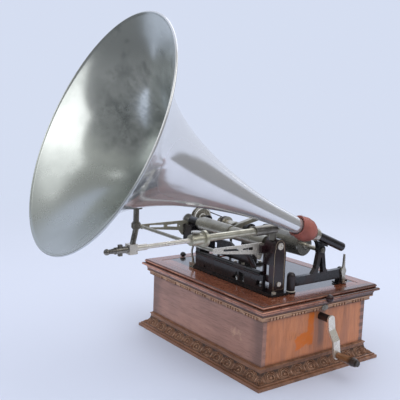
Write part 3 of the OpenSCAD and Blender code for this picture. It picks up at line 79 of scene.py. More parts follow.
class Value:
    """A socket of a material, so that shader maths reads as Python maths."""

    def __init__(self, graph: "Graph", socket: bpy.types.NodeSocket) -> None:
        """Keep the socket and the graph that it belongs to."""
        self.graph = graph
        self.socket = socket

    def _math(self, operation: str, first: Any, second: Any) -> "Value":
        """Result of one Math node on two values or numbers."""
        return self.graph.add("ShaderNodeMath", {"operation": operation}, {0: first, 1: second})

    def __add__(self, other: Any) -> "Value":
        """Sum of this and other."""
        return self._math("ADD", self, other)

    def __radd__(self, other: Any) -> "Value":
        """Sum of other and this."""
        return self._math("ADD", other, self)

    def __sub__(self, other: Any) -> "Value":
        """This less other."""
        return self._math("SUBTRACT", self, other)

    def __rsub__(self, other: Any) -> "Value":
        """Other less this."""
        return self._math("SUBTRACT", other, self)

    def __mul__(self, other: Any) -> "Value":
        """Product of this and other."""
        return self._math("MULTIPLY", self, other)

    def __rmul__(self, other: Any) -> "Value":
        """Product of other and this."""
        return self._math("MULTIPLY", other, self)

    def __truediv__(self, other: Any) -> "Value":
        """This divided by other."""
        return self._math("DIVIDE", self, other)

    def __rtruediv__(self, other: Any) -> "Value":
        """Other divided by this."""
        return self._math("DIVIDE", other, self)

    def __pow__(self, other: Any) -> "Value":
        """This to the power of other."""
        return self._math("POWER", self, other)

    def __rpow__(self, other: Any) -> "Value":
        """Other to the power of this."""
        return self._math("POWER", other, self)

    def __abs__(self) -> "Value":
        """This without its sign."""
        return self._math("ABSOLUTE", self, 0.0)

    def least(self, other: Any) -> "Value":
        """Lesser of this and other."""
        return self._math("MINIMUM", self, other)

    def most(self, other: Any) -> "Value":
        """Greater of this and other."""
        return self._math("MAXIMUM", self, other)

    def step(self, low: float, high: float) -> "Value":
        """Smooth step of this value.

        Args:
            low: Where the result is 0.
            high: Where the result is 1; below low, the step falls.

        Returns:
            A value from 0 to 1.
        """
        if low > high:
            return 1 - self.step(high, low)
        settings = {"interpolation_type": "SMOOTHSTEP"}
        return self.graph.add("ShaderNodeMapRange", settings, {0: self, 1: low, 2: high})


class Graph:
    """The nodes of one material or of the world."""

    def __init__(self, tree: bpy.types.NodeTree) -> None:
        """Take over a node tree, empty."""
        self.tree = tree
        self.tree.nodes.clear()

    def _feed(self, socket: bpy.types.NodeSocket, value: Any) -> None:
        """Link a value to a socket, or set the socket.

        Args:
            socket: The socket to feed.
            value: A value, a number, a colour or a vector.
        """
        if isinstance(value, Value):
            self.tree.links.new(value.socket, socket)
        elif isinstance(value, (tuple, list)) and socket.type == "RGBA" and len(value) == 3:
            socket.default_value = (*value, 1.0)
        else:
            socket.default_value = value

    def add(self, kind: str, settings: dict[str, Any], sockets: dict[Any, Any], out: Any = 0) -> Value:
        """Add any node.

        Args:
            kind: The node's type.
            settings: Its settings, set first; "stops" gives a ramp's stops.
            sockets: Values or links of its input sockets, by name or number.
            out: Name or number of the output to return.

        Returns:
            The chosen output.
        """
        node = self.tree.nodes.new(kind)
        for key, value in settings.items():
            if key == "stops":
                self._set_stops(node.color_ramp, value)
            else:
                setattr(node, key, value)
        for key, value in sockets.items():
            self._feed(node.inputs[key], value)
        return Value(self, None if out is None else node.outputs[out])

    @staticmethod
    def _set_stops(ramp: bpy.types.ColorRamp, stops: Sequence[tuple[float, Colour]]) -> None:
        """Set the stops of a colour ramp.

        Args:
            ramp: The ramp.
            stops: Places and colours, from left to right.
        """
        while len(ramp.elements) < len(stops):
            ramp.elements.new(0.5)
        for element, (place, colour) in zip(ramp.elements, stops):
            element.position = place
            element.color = (*colour, 1.0)

    def axes(self, vector: Value) -> tuple[Value, Value, Value]:
        """The x, y and z of a vector."""
        node = self.add("ShaderNodeSeparateXYZ", {}, {0: vector}).socket.node
        return tuple(Value(self, socket) for socket in node.outputs)

    def ramp(self, value: Value, *stops: tuple[float, Colour]) -> Value:
        """A colour that changes with a value."""
        return self.add("ShaderNodeValToRGB", {"stops": stops}, {0: value})

    def mix(self, factor: Any, first: Any, second: Any) -> Value:
        """Blend of two colours; the factor is the share of the second one."""
        return self.add("ShaderNodeMix", {"data_type": "RGBA"}, {0: factor, 6: first, 7: second}, 2)


class Paint(Graph):
    """The nodes of one material, with the point on the piece, and the colour and roughness so far."""

    def __init__(self, name: str) -> None:
        """Make an empty material with its main shader.

        Args:
            name: Name of the material.
        """
        self.material = bpy.data.materials.new(name)
        self.material.use_nodes = True
        super().__init__(self.material.node_tree)
        self.shader = self.tree.nodes.new("ShaderNodeBsdfPrincipled")
        self.output = self.tree.nodes.new("ShaderNodeOutputMaterial")
        self.tree.links.new(self.shader.outputs[0], self.output.inputs[0])
        self.point = self.add("ShaderNodeTexCoord", {}, {}, "Object")
        self.colour: Value | Colour = (0.5, 0.5, 0.5)
        self.rough: Value | float = 0.5

    def lay(self, amount: Value, colour: Colour) -> None:
        """Lay a colour over the colour so far, as strongly as the amount says."""
        self.colour = self.mix(amount, self.colour, colour)

    def noise(self, scale: float, detail: float = 3.0, rough: float = 0.5,
              drawn: Point | None = None) -> Value:
        """Soft noise over the piece, from 0 to 1.

        Args:
            scale: How fine it is, per metre.
            detail: Levels of finer noise.
            rough: Strength of the finer levels.
            drawn: Scale along each axis, below 1 where the noise is drawn out.

        Returns:
            The noise.
        """
        where = self.point
        if drawn:
            where = self.add("ShaderNodeVectorMath", {"operation": "MULTIPLY"}, {0: where, 1: drawn})
        sockets = {"Vector": where, "Scale": scale, "Detail": detail, "Roughness": rough}
        return self.add("ShaderNodeTexNoise", {}, sockets)

    def bump(self, height: Value, distance: float, strength: float) -> None:
        """Feed the shader's normal from a height from 0 to 1, with its full size in metres."""
        sockets = {"Height": height, "Distance": distance, "Strength": strength}
        self.surface(Normal=self.add("ShaderNodeBump", {}, sockets))

    def surface(self, **sockets: Any) -> None:
        """Feed sockets of the main shader; an underscore stands for a space."""
        for name, value in sockets.items():
            self._feed(self.shader.inputs[name.replace("_", " ")], value)


# Finishes


def shade(colour: Colour, factor: float) -> Colour:
    """A colour with each part multiplied."""
    return tuple(factor * part for part in colour)


class Run(Enum):
    """Direction in which the grain of a board runs."""

    ALONG = (0.10, 1.0, 1.0)
    ACROSS = (1.0, 0.10, 1.0)
    UPRIGHT = (1.0, 1.0, 0.10)


@dataclass(frozen=True)
class Finish:
    """A finish: each kind says how it covers a piece and which marks it has."""

    name: str

    def make(self) -> bpy.types.Material:
        """Build the material.

        Returns:
            The material.
        """
        paint = Paint(self.name)
        self.cover(paint)
        self.mark(paint)
        paint.surface(Base_Color=paint.colour, Roughness=paint.rough)
        return paint.material

    def cover(self, paint: Paint) -> None:
        """Lay the plain finish."""
        raise NotImplementedError

    def mark(self, paint: Paint) -> None:
        """Add local marks; a plain finish has none."""


@dataclass(frozen=True)
class Timber(Finish):
    """Stained and polished wood with pores, figure and darker soil."""

    dark: Colour
    mid: Colour
    pale: Colour
    run: Run = Run.ALONG
    gloss: float = 0.3
    coat: float = 0.4
    soil: float = 0.5
    polish: float = 0.12
    figure: float = 1.0
    open_pores: float = 0.45

    def cover(self, paint: Paint) -> None:
        """Lay the figure, the pores and the soil.

        Args:
            paint: The material's nodes.
        """
        run = self.run.value
        wave = paint.noise(55.0, 4.0, 0.6, run)
        figure = paint.noise(170.0, 3.0, 0.6, run)
        long = tuple(0.35 * part if part < 1 else part for part in run)
        specks = paint.noise(1300.0, 2.0, drawn=long).step(0.56, 0.70)
        tone = ((wave * 0.55 + figure * 0.45) - 0.5) * self.figure + 0.5
        paint.colour = paint.ramp(tone, (0.32, self.dark), (0.5, self.mid), (0.68, self.pale))
        paint.lay(specks * self.open_pores, shade(self.dark, 0.35))
        paint.lay(paint.noise(14.0, 3.0).step(0.45, 0.75) * self.soil, shade(self.mid, 0.55))
        paint.rough = paint.noise(60.0, 4.0) * 0.18 + (self.gloss - 0.05) + specks * 0.15
        paint.surface(Coat_Weight=self.coat, Coat_Roughness=self.polish, Specular_IOR_Level=0.4)
        paint.bump(figure * 0.35 - specks * 0.65, 0.0001, self.open_pores + 0.15)


@dataclass(frozen=True)
class WallTimber(Timber):
    """Wood of the case walls, with soiled edges, finger joints at the corners, a scuff, and painted shade
    along the foot and under the cornice.
    """

    half: tuple[float, float] = (0.180, 0.135)
    top: float = 0.119
    foot: float = 0.034
    tooth: float = 0.0075
    scuff: tuple[float, float] = (0.112, 0.076)
    scuff_half: tuple[float, float] = (0.026, 0.015)
    scuff_colour: Colour = (0.60, 0.37, 0.24)

    def mark(self, paint: Paint) -> None:
        """Rub the front, darken the edges, show the joints of the corners, and paint shade along the foot
        and under the cornice.

        Args:
            paint: The material's nodes.
        """
        x, y, z = paint.axes(paint.point)
        sideways = (x - self.scuff[0]) / self.scuff_half[0]
        upward = (z - self.scuff[1]) / self.scuff_half[1]
        worn = (sideways * sideways + upward * upward).step(1.0, 0.1) * y.step(-0.13, -0.134)
        paint.lay(worn * paint.noise(75.0, 5.0, 0.65).step(0.42, 0.62) * 0.5, self.scuff_colour)
        half_x, half_y = self.half
        rag = paint.noise(45.0, 4.0) * 0.012
        side = abs(x).step(half_x - 0.002, half_x - 0.0005)
        side = side * (abs(y) + rag).step(half_y - 0.011, half_y - 0.002)
        front = abs(y).step(half_y - 0.002, half_y - 0.0005)
        end = front * (abs(x) + rag * 2).step(half_x - 0.030, half_x + 0.004)
        zigzag = paint.add("ShaderNodeMath", {"operation": "PINGPONG"}, {0: z, 1: self.tooth})
        teeth = (zigzag / self.tooth).step(0.42, 0.58)
        joints = side * (teeth * 0.5 + 0.2) * (y.step(-0.01, 0.01) * 0.7 + 0.3)
        paint.lay(joints.most(end * 0.55), shade(self.mid, 0.22))
        # Painted shade along the foot of the wall above the plinth, then painted shade under the cornice at
        # the top.
        paint.lay((z + rag * 0.6).step(self.foot + 0.010, self.foot - 0.001) * 0.75, shade(self.mid, 0.16))
        paint.lay((z + rag * 0.4).step(self.top - 0.004, self.top + 0.003) * 0.5, shade(self.mid, 0.18))


@dataclass(frozen=True)
class EndTimber(WallTimber):
    """Wood of the crank end, with bright rubbed stain beside the crank."""

    rub: Colour = (0.56, 0.135, 0.012)
    smoke: Colour = (0.19, 0.098, 0.078)
    soot: Colour = (0.085, 0.062, 0.055)

    def mark(self, paint: Paint) -> None:
        """Add smoke, the rubbed stain and a sooty streak to the marks of a wall.

        Args:
            paint: The material's nodes.
        """
        _, y, z = paint.axes(paint.point)
        rag = (paint.noise(60.0, 3.0) - 0.5) * 0.018
        pillar = abs(y + 0.014 + rag * 0.5).step(0.0085, 0.006) * z.step(0.050, 0.056)
        toe = abs(z - 0.066 - (y + 0.03) * 0.25 + rag).step(0.015, 0.011) * (y + rag).step(-0.054, -0.050)
        toe = toe * (y + rag * 0.5).step(-0.008, -0.010)
        rubbed = pillar.most(toe) * (paint.noise(90.0, 3.0).step(0.2, 0.55) * 0.5 + 0.5)
        streak = abs(y - 0.014).step(0.012, 0.005) * z.step(0.03, 0.06)
        smoky = paint.noise(46.0, 3.0, drawn=(1.0, 1.0, 0.16)).step(0.50, 0.72)
        paint.lay(smoky * 0.38, self.smoke)
        paint.lay(rubbed, self.rub)
        paint.lay(streak * 0.6, self.soot)
        super().mark(paint)


@dataclass(frozen=True)
class MouldedTimber(Timber):
    """Wood of mouldings: painted shade lies in the grooves, the noses get pale paint that is partly rubbed
    wear and partly painted highlight, and the crank end can get painted shade.
    """

    # Heights of the grooves, which get painted shade, and of the noses, which get painted highlight with
    # some wear.
    shaded_grooves: tuple[float, ...] = ()
    worn_highlit_noses: tuple[float, ...] = ()
    # Colour of the noses: partly rubbed wear, partly painted highlight.
    rubbed: Colour = (0.50, 0.22, 0.12)
    band: float = 0.0011
    painted_end_shade: float = 0.0
    half: tuple[float, float] = (0.180, 0.135)

    def mark(self, paint: Paint) -> None:
        """Paint shade into the grooves and highlights onto the noses by height, and paint shade over the
        crank end behind the corner.

        Args:
            paint: The material's nodes.
        """
        x, y, z = paint.axes(paint.point)
        patchy = paint.noise(38.0, 4.0).step(0.30, 0.62)
        # Painted highlight, with some rubbed wear, along each nose.
        for height in self.worn_highlit_noses:
            paint.lay(abs(z - height).step(self.band, 0.0002) * patchy * 0.75, self.rubbed)
        # Painted shade along each groove.
        for height in self.shaded_grooves:
            paint.lay(abs(z - height).step(self.band, 0.0003) * 0.85, shade(self.mid, 0.12))
        # Painted shade over the crank end of the moulding.
        if self.painted_end_shade > 0:
            half_x, half_y = self.half
            past = (x - half_x) - (abs(y) - half_y)
            far = past.step(-0.0003, 0.0003) * x.step(half_x, half_x + 0.001) * y.step(-0.13, 0.12)
            paint.lay(far * self.painted_end_shade, shade(self.mid, 0.15))


@dataclass(frozen=True)
class DeckTimber(Timber):
    """Red wood of the deck round a sheet of black lacquer with a mirror polish."""

    right: float = 0.156
    front: float = -0.101
    face: float = 0.1512
    lacquer: Colour = (0.032, 0.030, 0.032)
    groove: Colour = (0.012, 0.006, 0.005)

    def mark(self, paint: Paint) -> None:
        """Lay the lacquer and the groove round it over the wood.

        Args:
            paint: The material's nodes.
        """
        x, y, z = paint.axes(paint.point)
        inside = (self.right - x).least(y - self.front)
        above = z.step(self.face - 0.0012, self.face - 0.0006)
        line = abs(inside).step(0.0012, 0.0005) * above
        paint.lay(inside.step(-0.0002, 0.0002) * above, self.lacquer)
        paint.lay(line * 0.9, self.groove)


@dataclass(frozen=True)
class CarvedTimber(Timber):
    """Wood of the carving, with painted shade in its hollows and painted highlights on its high parts."""

    # Colour of the painted highlights on the high parts.
    high: Colour = (0.52, 0.33, 0.22)

    def mark(self, paint: Paint) -> None:
        """Paint shade into the hollows and highlights onto the high parts, by the height of the carving.

        Args:
            paint: The material's nodes.
        """
        height = paint.add("ShaderNodeAttribute", {"attribute_name": "relief"}, {}, "Fac")
        # Painted shade in the hollows.
        paint.lay(height.step(0.45, 0.05) * 0.85, shade(self.mid, 0.14))
        # Painted highlight on the high parts, laid in patches.
        rubbed = height.step(0.5, 0.9) * paint.noise(70.0, 3.0).step(0.35, 0.6)
        paint.lay(rubbed * 0.8, self.high)


@dataclass(frozen=True)
class Plate(Finish):
    """Nickel plate or bare metal, dulled in clouds and brushed lightly."""

    bright: Colour
    dull: Colour
    rough: float = 0.26
    clouds: float = 0.55
    mirror: float = 0.8
    brush: float = 0.000008

    def cover(self, paint: Paint) -> None:
        """Lay the metal with its clouds and spots.

        Args:
            paint: The material's nodes.
        """
        soil = paint.noise(60.0, 5.0, 0.65).step(0.38, 0.72)
        spots = paint.noise(420.0, 3.0, 0.6).step(0.60, 0.72)
        paint.colour = self.bright
        paint.lay((soil * self.clouds + spots * 0.35).least(1.0), self.dull)
        paint.rough = soil * 0.16 + spots * 0.12 + (self.rough - 0.04)
        paint.surface(Metallic=self.mirror)
        paint.bump(paint.noise(900.0, 2.0), self.brush, 0.5)


@dataclass(frozen=True)
class CrankPlate(Plate):
    """Nickel of the crank, blackened where it ends in the grip's rivet."""

    rivet: float = 0.2655
    black: Colour = (0.030, 0.025, 0.022)

    def mark(self, paint: Paint) -> None:
        """Blacken the rivet."""
        x, _, _ = paint.axes(paint.point)
        paint.lay(x.step(self.rivet - 0.0012, self.rivet - 0.0010) * 0.93, self.black)


@dataclass(frozen=True)
class Japan(Finish):
    """Baked black lacquer on cast iron, rubbed to a brown-red sheen in places."""

    black: Colour = (0.0095, 0.0090, 0.0105)
    worn: Colour = (0.030, 0.018, 0.019)
    rough: float = 0.24
    chip: Colour = (0.09, 0.07, 0.06)

    def cover(self, paint: Paint) -> None:
        """Lay the lacquer with its sheen and chips.

        Args:
            paint: The material's nodes.
        """
        clouds = paint.noise(34.0, 4.0).step(0.42, 0.72)
        chips = paint.noise(210.0, 4.0, 0.7).step(0.70, 0.76)
        paint.colour = self.black
        paint.lay(clouds * 0.8, self.worn)
        paint.lay(chips * 0.5, self.chip)
        paint.rough = clouds * 0.14 + chips * 0.25 + self.rough
        paint.surface(Specular_IOR_Level=0.4, Coat_Weight=0.3, Coat_Roughness=0.08)
        paint.bump(paint.noise(380.0, 3.0), 0.00022, 0.5)


@dataclass(frozen=True)
class Spun(Finish):
    """Spun horn metal: fine turned rings and a mottled sheen."""

    bright: Colour
    dull: Colour
    rough: float
    mottle: float
    mirror: float

    def cover(self, paint: Paint) -> None:
        """Lay the metal with its rings and mottling.

        Args:
            paint: The material's nodes.
        """
        reach = paint.add("ShaderNodeAttribute", {"attribute_name": "reach"}, {}, "Fac")
        turned = paint.add("ShaderNodeCombineXYZ", {}, {0: reach, 1: 0.0, 2: 0.0})
        sockets = {"Vector": turned, "Scale": 900.0, "Detail": 3.0, "Roughness": 0.7}
        rings = paint.add("ShaderNodeTexNoise", {}, sockets)
        soil = paint.noise(13.0, 5.0, 0.55).step(0.40, 0.72)
        spots = paint.noise(120.0, 5.0, 0.7).step(0.52, 0.80)
        paint.colour = self.bright
        paint.lay((soil * self.mottle + spots * (self.mottle * 0.3)).least(1.0), self.dull)
        paint.rough = soil * 0.07 + spots * 0.03 + rings * 0.04 + (self.rough - 0.03)
        paint.surface(Metallic=self.mirror)
        paint.bump(rings, 0.00002, 0.4)


@dataclass(frozen=True)
class SpunOutside(Spun):
    """Outside of the horn, a cooler grey over the belly of the bell."""

    belly_grey: Colour = (0.46, 0.51, 0.52)
    rim: tuple[float, float] = (-0.443, 0.449)
    lean: tuple[float, float] = (0.392, 0.920)

    def mark(self, paint: Paint) -> None:
        """Lay the cooler grey below the horn's axis.

        Args:
            paint: The material's nodes.
        """
        _, y, z = paint.axes(paint.point)
        above = (y - self.rim[0]) * self.lean[0] + (z - self.rim[1]) * self.lean[1]
        belly = (above + paint.noise(22.0, 4.0) * 0.03).step(-0.012, -0.052)
        paint.lay(belly * 0.7, self.belly_grey)


@dataclass(frozen=True)
class SpunInside(Spun):
    """Inside of the horn: smudges with painted dark reflection over its upper part, painted shade behind
    the rim, and a darker, rougher tone towards its bottom.
    """

    # Colour of the smudges and of the painted dark reflection and shade.
    smudge_and_shade: Colour = (0.24, 0.27, 0.27)
    foot_tone: Colour = (0.35, 0.375, 0.37)

    def mark(self, paint: Paint) -> None:
        """Add the smudges with painted dark reflection and shade above, and the darker tone towards the
        bottom.

        Args:
            paint: The material's nodes.
        """
        x, _, z = paint.axes(paint.point)
        fine = paint.noise(34.0, 6.0, 0.68).step(0.40, 0.62)
        broad = paint.noise(11.0, 2.0).step(0.38, 0.58)
        streaks = paint.noise(75.0, 5.0, 0.7, drawn=(1.0, 0.18, 1.0)).step(0.44, 0.62)
        # Smudges and streaks with painted dark reflection over the upper right of the inside.
        smears_and_shade = (fine * broad).most(streaks * 0.5) * z.step(0.36, 0.46) * x.step(-0.005, 0.055)
        # Painted shade in a band just behind the rim.
        smears_and_shade = smears_and_shade.most(z.step(0.52, 0.585) * 0.78)
        paint.lay(smears_and_shade * 0.68, self.smudge_and_shade)
        # Darker and rougher towards the bottom of the bell.
        toward_foot = (z + paint.noise(16.0, 4.0) * 0.05).step(0.47, 0.39)
        paint.lay(toward_foot * 0.75, self.foot_tone)
        paint.rough = paint.rough + toward_foot * 0.10 + smears_and_shade * 0.05


@dataclass(frozen=True)
class Hide(Finish):
    """Leather with grain, creases and rubbed patches."""

    dark: Colour
    mid: Colour
    grain: float = 900.0

    def cover(self, paint: Paint) -> None:
        """Lay the leather.

        Args:
            paint: The material's nodes.
        """
        sockets = {"Vector": paint.point, "Scale": self.grain}
        cells = paint.add("ShaderNodeTexVoronoi", {"feature": "DISTANCE_TO_EDGE"}, sockets)
        creases = paint.noise(130.0, 5.0, 0.65, drawn=(1.0, 0.4, 1.0))
        patches = paint.noise(40.0, 4.0).step(0.4, 0.7)
        paint.colour = self.mid
        paint.lay(patches * 0.55, self.dark)
        paint.lay(creases.step(0.58, 0.7) * 0.5, shade(self.mid, 1.35))
        paint.rough = patches * 0.15 + 0.48
        paint.surface(Specular_IOR_Level=0.4)
        paint.bump(cells.step(0.0, 0.16) * 0.5 + creases * 0.5, 0.00035, 0.7)


@dataclass(frozen=True)
class Turned(Finish):
    """Turned wood of the crank grip, dark with handling towards its end."""

    mid: Colour
    dark: Colour
    start: float
    end: float

    def cover(self, paint: Paint) -> None:
        """Lay the wood and the dirt of hands.

        Args:
            paint: The material's nodes.
        """
        x, _, _ = paint.axes(paint.point)
        grain = paint.noise(420.0, 4.0, 0.6, drawn=(0.15, 1.0, 1.0))
        paint.colour = paint.ramp(grain, (0.35, shade(self.mid, 0.6)), (0.62, self.mid))
        paint.lay((x + grain * 0.012).step(self.start, self.end), self.dark)
        paint.rough = grain * 0.2 + 0.28
        paint.surface(Coat_Weight=0.25, Coat_Roughness=0.2)
        paint.bump(grain, 0.0001, 0.5)


def make_finishes() -> Materials:
    """Make every finish of the object, once.

    Returns:
        The materials by name.
    """
    brown = ((0.180, 0.086, 0.058), (0.340, 0.172, 0.127), (0.425, 0.230, 0.168))
    warm = ((0.290, 0.105, 0.040), (0.500, 0.185, 0.080), (0.620, 0.260, 0.115))
    plinth = ((0.085, 0.036, 0.018), (0.220, 0.100, 0.055), (0.340, 0.170, 0.095))
    tan = ((0.150, 0.068, 0.038), (0.330, 0.172, 0.110), (0.480, 0.280, 0.175))
    red = ((0.130, 0.036, 0.018), (0.245, 0.076, 0.040), (0.350, 0.128, 0.068))
    pale = ((0.80, 0.75, 0.67), (0.50, 0.45, 0.38))
    # Heights of painted shade in the grooves and of painted highlights, partly rubbed wear, on the noses of
    # the cornice and the deck's rim; the rim also gets painted shade on its crank end.
    cornice = {"shaded_grooves": (0.1304, 0.1198), "worn_highlit_noses": (0.1235, 0.1280), "rubbed": (0.66, 0.42, 0.25)}
    rim = {"shaded_grooves": (0.1322, 0.1384, 0.1447, 0.1509), "worn_highlit_noses": (0.1352, 0.1362, 0.1425, 0.1487),
           "rubbed": (0.66, 0.33, 0.22), "band": 0.0014, "painted_end_shade": 0.7, "open_pores": 0.05}
    finishes = (
        WallTimber("wall_wood", *brown, Run.ALONG, 0.30, 0.35, 0.35, 0.10, 0.7),
        EndTimber("end_wood", *warm, Run.UPRIGHT, 0.34, 0.25, 0.25, 0.12, 0.6),
        Timber("plinth_wood", *plinth, Run.ALONG, 0.34, 0.3, 0.5),
        MouldedTimber("cornice_wood", *tan, Run.ACROSS, 0.40, 0.1, 0.4, **cornice),
        CarvedTimber("carved_wood", *plinth, Run.ALONG, 0.36, 0.2, 0.3),
        DeckTimber("lid_wood", *red, Run.ALONG, 0.12, 0.8, 0.45, 0.03, open_pores=0.05),
        MouldedTimber("lid_rim_wood", *red, Run.ALONG, 0.24, 0.7, 0.4, 0.08, **rim),
        Plate("worn_nickel", (0.38, 0.365, 0.31), (0.17, 0.155, 0.13), 0.30, 0.7),
        Plate("cream_nickel", (0.62, 0.595, 0.48), (0.33, 0.30, 0.23), 0.34, 0.6, 0.75),
        # Near-white, mostly non-metal finish: a painted glint on the idler's turned rims.
        Plate("bright_edge", (0.93, 0.93, 0.91), (0.80, 0.80, 0.78), 0.36, 0.2, 0.2),
        Plate("aged_nickel", (0.27, 0.25, 0.215), (0.08, 0.07, 0.06), 0.26, 0.8),
        Plate("nickel", (0.62, 0.59, 0.52), (0.26, 0.235, 0.20), 0.22, 0.7),
        # Nickel of the mandrel with painted dark reflection: its colour is darkened to stand for the dark
        # room it reflects.
        Plate("mandrel_nickel", (0.25, 0.24, 0.215), (0.085, 0.078, 0.068), 0.24, 0.8),
        Plate("dull_nickel", (0.28, 0.26, 0.225), (0.10, 0.09, 0.08), 0.32),
        Plate("pale_nickel", *pale, 0.30, 0.4, 0.7),
        CrankPlate("crank_nickel", *pale, 0.30, 0.4, 0.7),
        Plate("steel", (0.42, 0.42, 0.41), (0.16, 0.15, 0.13), 0.30),
        Plate("brass", (0.60, 0.42, 0.17), (0.24, 0.15, 0.06), 0.28),
        Plate("gilt_lining", (0.56, 0.45, 0.30), (0.26, 0.18, 0.12), 0.42),
        Japan("black_japan"),
        Japan("maroon_japan", (0.016, 0.008, 0.009), (0.040, 0.013, 0.017)),
        Japan("button_lacquer", (0.022, 0.006, 0.006), (0.05, 0.012, 0.010), 0.2),
        SpunOutside("horn_outside", (0.74, 0.74, 0.75), (0.62, 0.61, 0.62), 0.12, 0.25, 0.70),
        SpunInside("horn_inside", (0.82, 0.86, 0.84), (0.54, 0.58, 0.56), 0.17, 0.5, 0.86),
        Hide("red_hide", (0.17, 0.046, 0.034), (0.33, 0.098, 0.074)),
        Hide("belt_hide", (0.014, 0.010, 0.008), (0.030, 0.020, 0.015)),
        Hide("sewing_thread", (0.16, 0.09, 0.05), (0.32, 0.21, 0.13), 4000.0),
        Turned("grip_wood", (0.245, 0.115, 0.050), (0.030, 0.016, 0.010), 0.2495, 0.262),
    )
    return {finish.name: finish.make() for finish in finishes}


# Mesh making


def link(name: str, data: bpy.types.ID) -> bpy.types.Object:
    """New object in the scene.

    Args:
        name: Name of the object.
        data: Its mesh, lamp or camera.

    Returns:
        The object.
    """
    obj = bpy.data.objects.new(name, data)
    bpy.context.scene.collection.objects.link(obj)
    return obj


@dataclass
class Shape:
    """Points and faces of one piece, in metres in the object's frame."""

    points: list[Vector] = field(default_factory=list)
    faces: list[tuple[int, ...]] = field(default_factory=list)
    marks: dict[str, list[float]] = field(default_factory=dict)

    def grid(self, rows: int, cols: int, at: Callable[[int, int], Vector], ring: bool = False,
             ends: bool = False) -> None:
        """Add a sheet of quads.

        Args:
            rows: Points one way.
            cols: Points the other way.
            at: Gives the point of a row and column.
            ring: Whether each row closes into a ring.
            ends: Whether the first and the last row are closed by a face.
        """
        base = len(self.points)
        self.points += [at(i, j) for i in range(rows) for j in range(cols)]
        for i in range(rows - 1):
            for j in range(cols if ring else cols - 1):
                k = (j + 1) % cols
                a, b = base + i * cols, base + (i + 1) * cols
                self.faces.append((a + j, a + k, b + k, b + j))
        if ends:
            last = base + (rows - 1) * cols
            self.faces.append(tuple(range(base + cols - 1, base - 1, -1)))
            self.faces.append(tuple(range(last, last + cols)))

    def lathe(self, axis: "Axis", profile: Sequence[tuple[float, float]], turns: int = 96) -> None:
        """Add a closed solid of revolution.

        Args:
            axis: The axis to turn about.
            profile: Closed loop of (radius, distance along the axis).
            turns: Steps round the axis.
        """
        loop = [*profile, profile[0]]

        def at(i: int, j: int) -> Vector:
            """Point of the loop at one step round."""
            return axis.at(*loop[i], 2 * math.pi * j / turns)

        self.grid(len(loop), turns, at, ring=True)

    def tube(self, path: Sequence[Vector], radius: float, sides: int) -> None:
        """Add a round closed bar along a path.

        Args:
            path: Points of its middle line.
            radius: Radius of the bar.
            sides: Sides of its section.
        """
        rings = []
        for i, here in enumerate(path):
            way = (path[min(i + 1, len(path) - 1)] - path[max(i - 1, 0)]).normalized()
            side = way.orthogonal().normalized() if not rings else rings[-1][1]
            side = (side - way * side.dot(way)).normalized()
            rings.append((here, side, way.cross(side)))

        def at(i: int, j: int) -> Vector:
            """Point of one ring.

            Args:
                i: Number of the ring.
                j: Step round it.

            Returns:
                The point.
            """
            a = 2 * math.pi * j / sides
            here, u, v = rings[i]
            return here + u * (radius * math.cos(a)) + v * (radius * math.sin(a))

        self.grid(len(rings), sides, at, ring=True, ends=True)

    def ribbon(self, loop: Sequence[Vector], normal: Vector, width: float, proud: float) -> None:
        """Add a thin closed line of paint on a flat face.

        Args:
            loop: Points of its middle line.
            normal: Outward direction of the face.
            width: Width of the line.
            proud: How far it stands out.
        """
        count = len(loop)

        def at(i: int, j: int) -> Vector:
            """Corner j of the section at point i.

            Args:
                i: Number of the point on the line.
                j: Number of the corner.

            Returns:
                The point.
            """
            side = (loop[(i + 1) % count] - loop[i % count - 1]).normalized().cross(normal)
            out, up = ((-1, 0), (-1, 1), (1, 1), (1, 0))[j]
            return loop[i % count] + side * (out * width / 2) + normal * (up * proud)

        self.grid(count + 1, 4, at, ring=True)

    def piece(self, name: str, finish: bpy.types.Material, slot: str, body: str,
              smooth: float = 40.0) -> bpy.types.Object:
        """Make the object and let it ride.

        Args:
            name: Name of the piece.
            finish: Its material.
            slot: The record's slot of its finish; not used.
            body: The body that carries it.
            smooth: Largest angle in degrees between faces that are shaded as one.

        Returns:
            The new object.
        """
        mesh = bpy.data.meshes.new(name)
        mesh.from_pydata([tuple(p) for p in self.points], [], self.faces)
        for key, values in self.marks.items():
            mesh.attributes.new(key, "FLOAT", "POINT").data.foreach_set("value", values)
        obj = link(name, mesh)
        tidy_mesh(obj, smooth)
        mesh.materials.append(finish)
        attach(obj, body)
        LOG.info("piece %s: %d faces on body %s", name, len(mesh.polygons), body)
        return obj


def tidy_mesh(obj: bpy.types.Object, smooth: float) -> None:
    """Merge doubled points, turn faces outwards and set the shading.

    Args:
        obj: The object to tidy.
        smooth: Largest angle in degrees between faces that are shaded as one.
    """
    work = bmesh.new()
    work.from_mesh(obj.data)
    bmesh.ops.remove_doubles(work, verts=work.verts, dist=1e-7)
    bmesh.ops.recalc_face_normals(work, faces=work.faces)
    for face in work.faces:
        face.smooth = True
    for edge in work.edges:
        if len(edge.link_faces) == 2:
            edge.smooth = edge.calc_face_angle(0.0) < math.radians(smooth)
    work.to_mesh(obj.data)
    work.free()


@dataclass(frozen=True)
class Axis:
    """A line that round pieces are turned about."""

    origin: Vector
    way: Vector

    def at(self, radius: float, along: float, angle: float) -> Vector:
        """Point at a radius, a distance along and an angle round.

        Args:
            radius: Distance from the axis.
            along: Distance from the origin along the axis.
            angle: Angle round the axis; a quarter turn points down.

        Returns:
            The point.
        """
        side = self.way.cross(Vector((0, 0, 1)))
        side = side.normalized() if side.length > 1e-6 else Vector((1, 0, 0))
        across = side * math.cos(angle) + self.way.cross(side) * math.sin(angle)
        return self.origin + self.way * along + across * radius


# Sub-assemblies


def middle(node: str) -> Vector:
    """Middle of the box round a node."""
    low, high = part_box(node)
    return (low + high) / 2


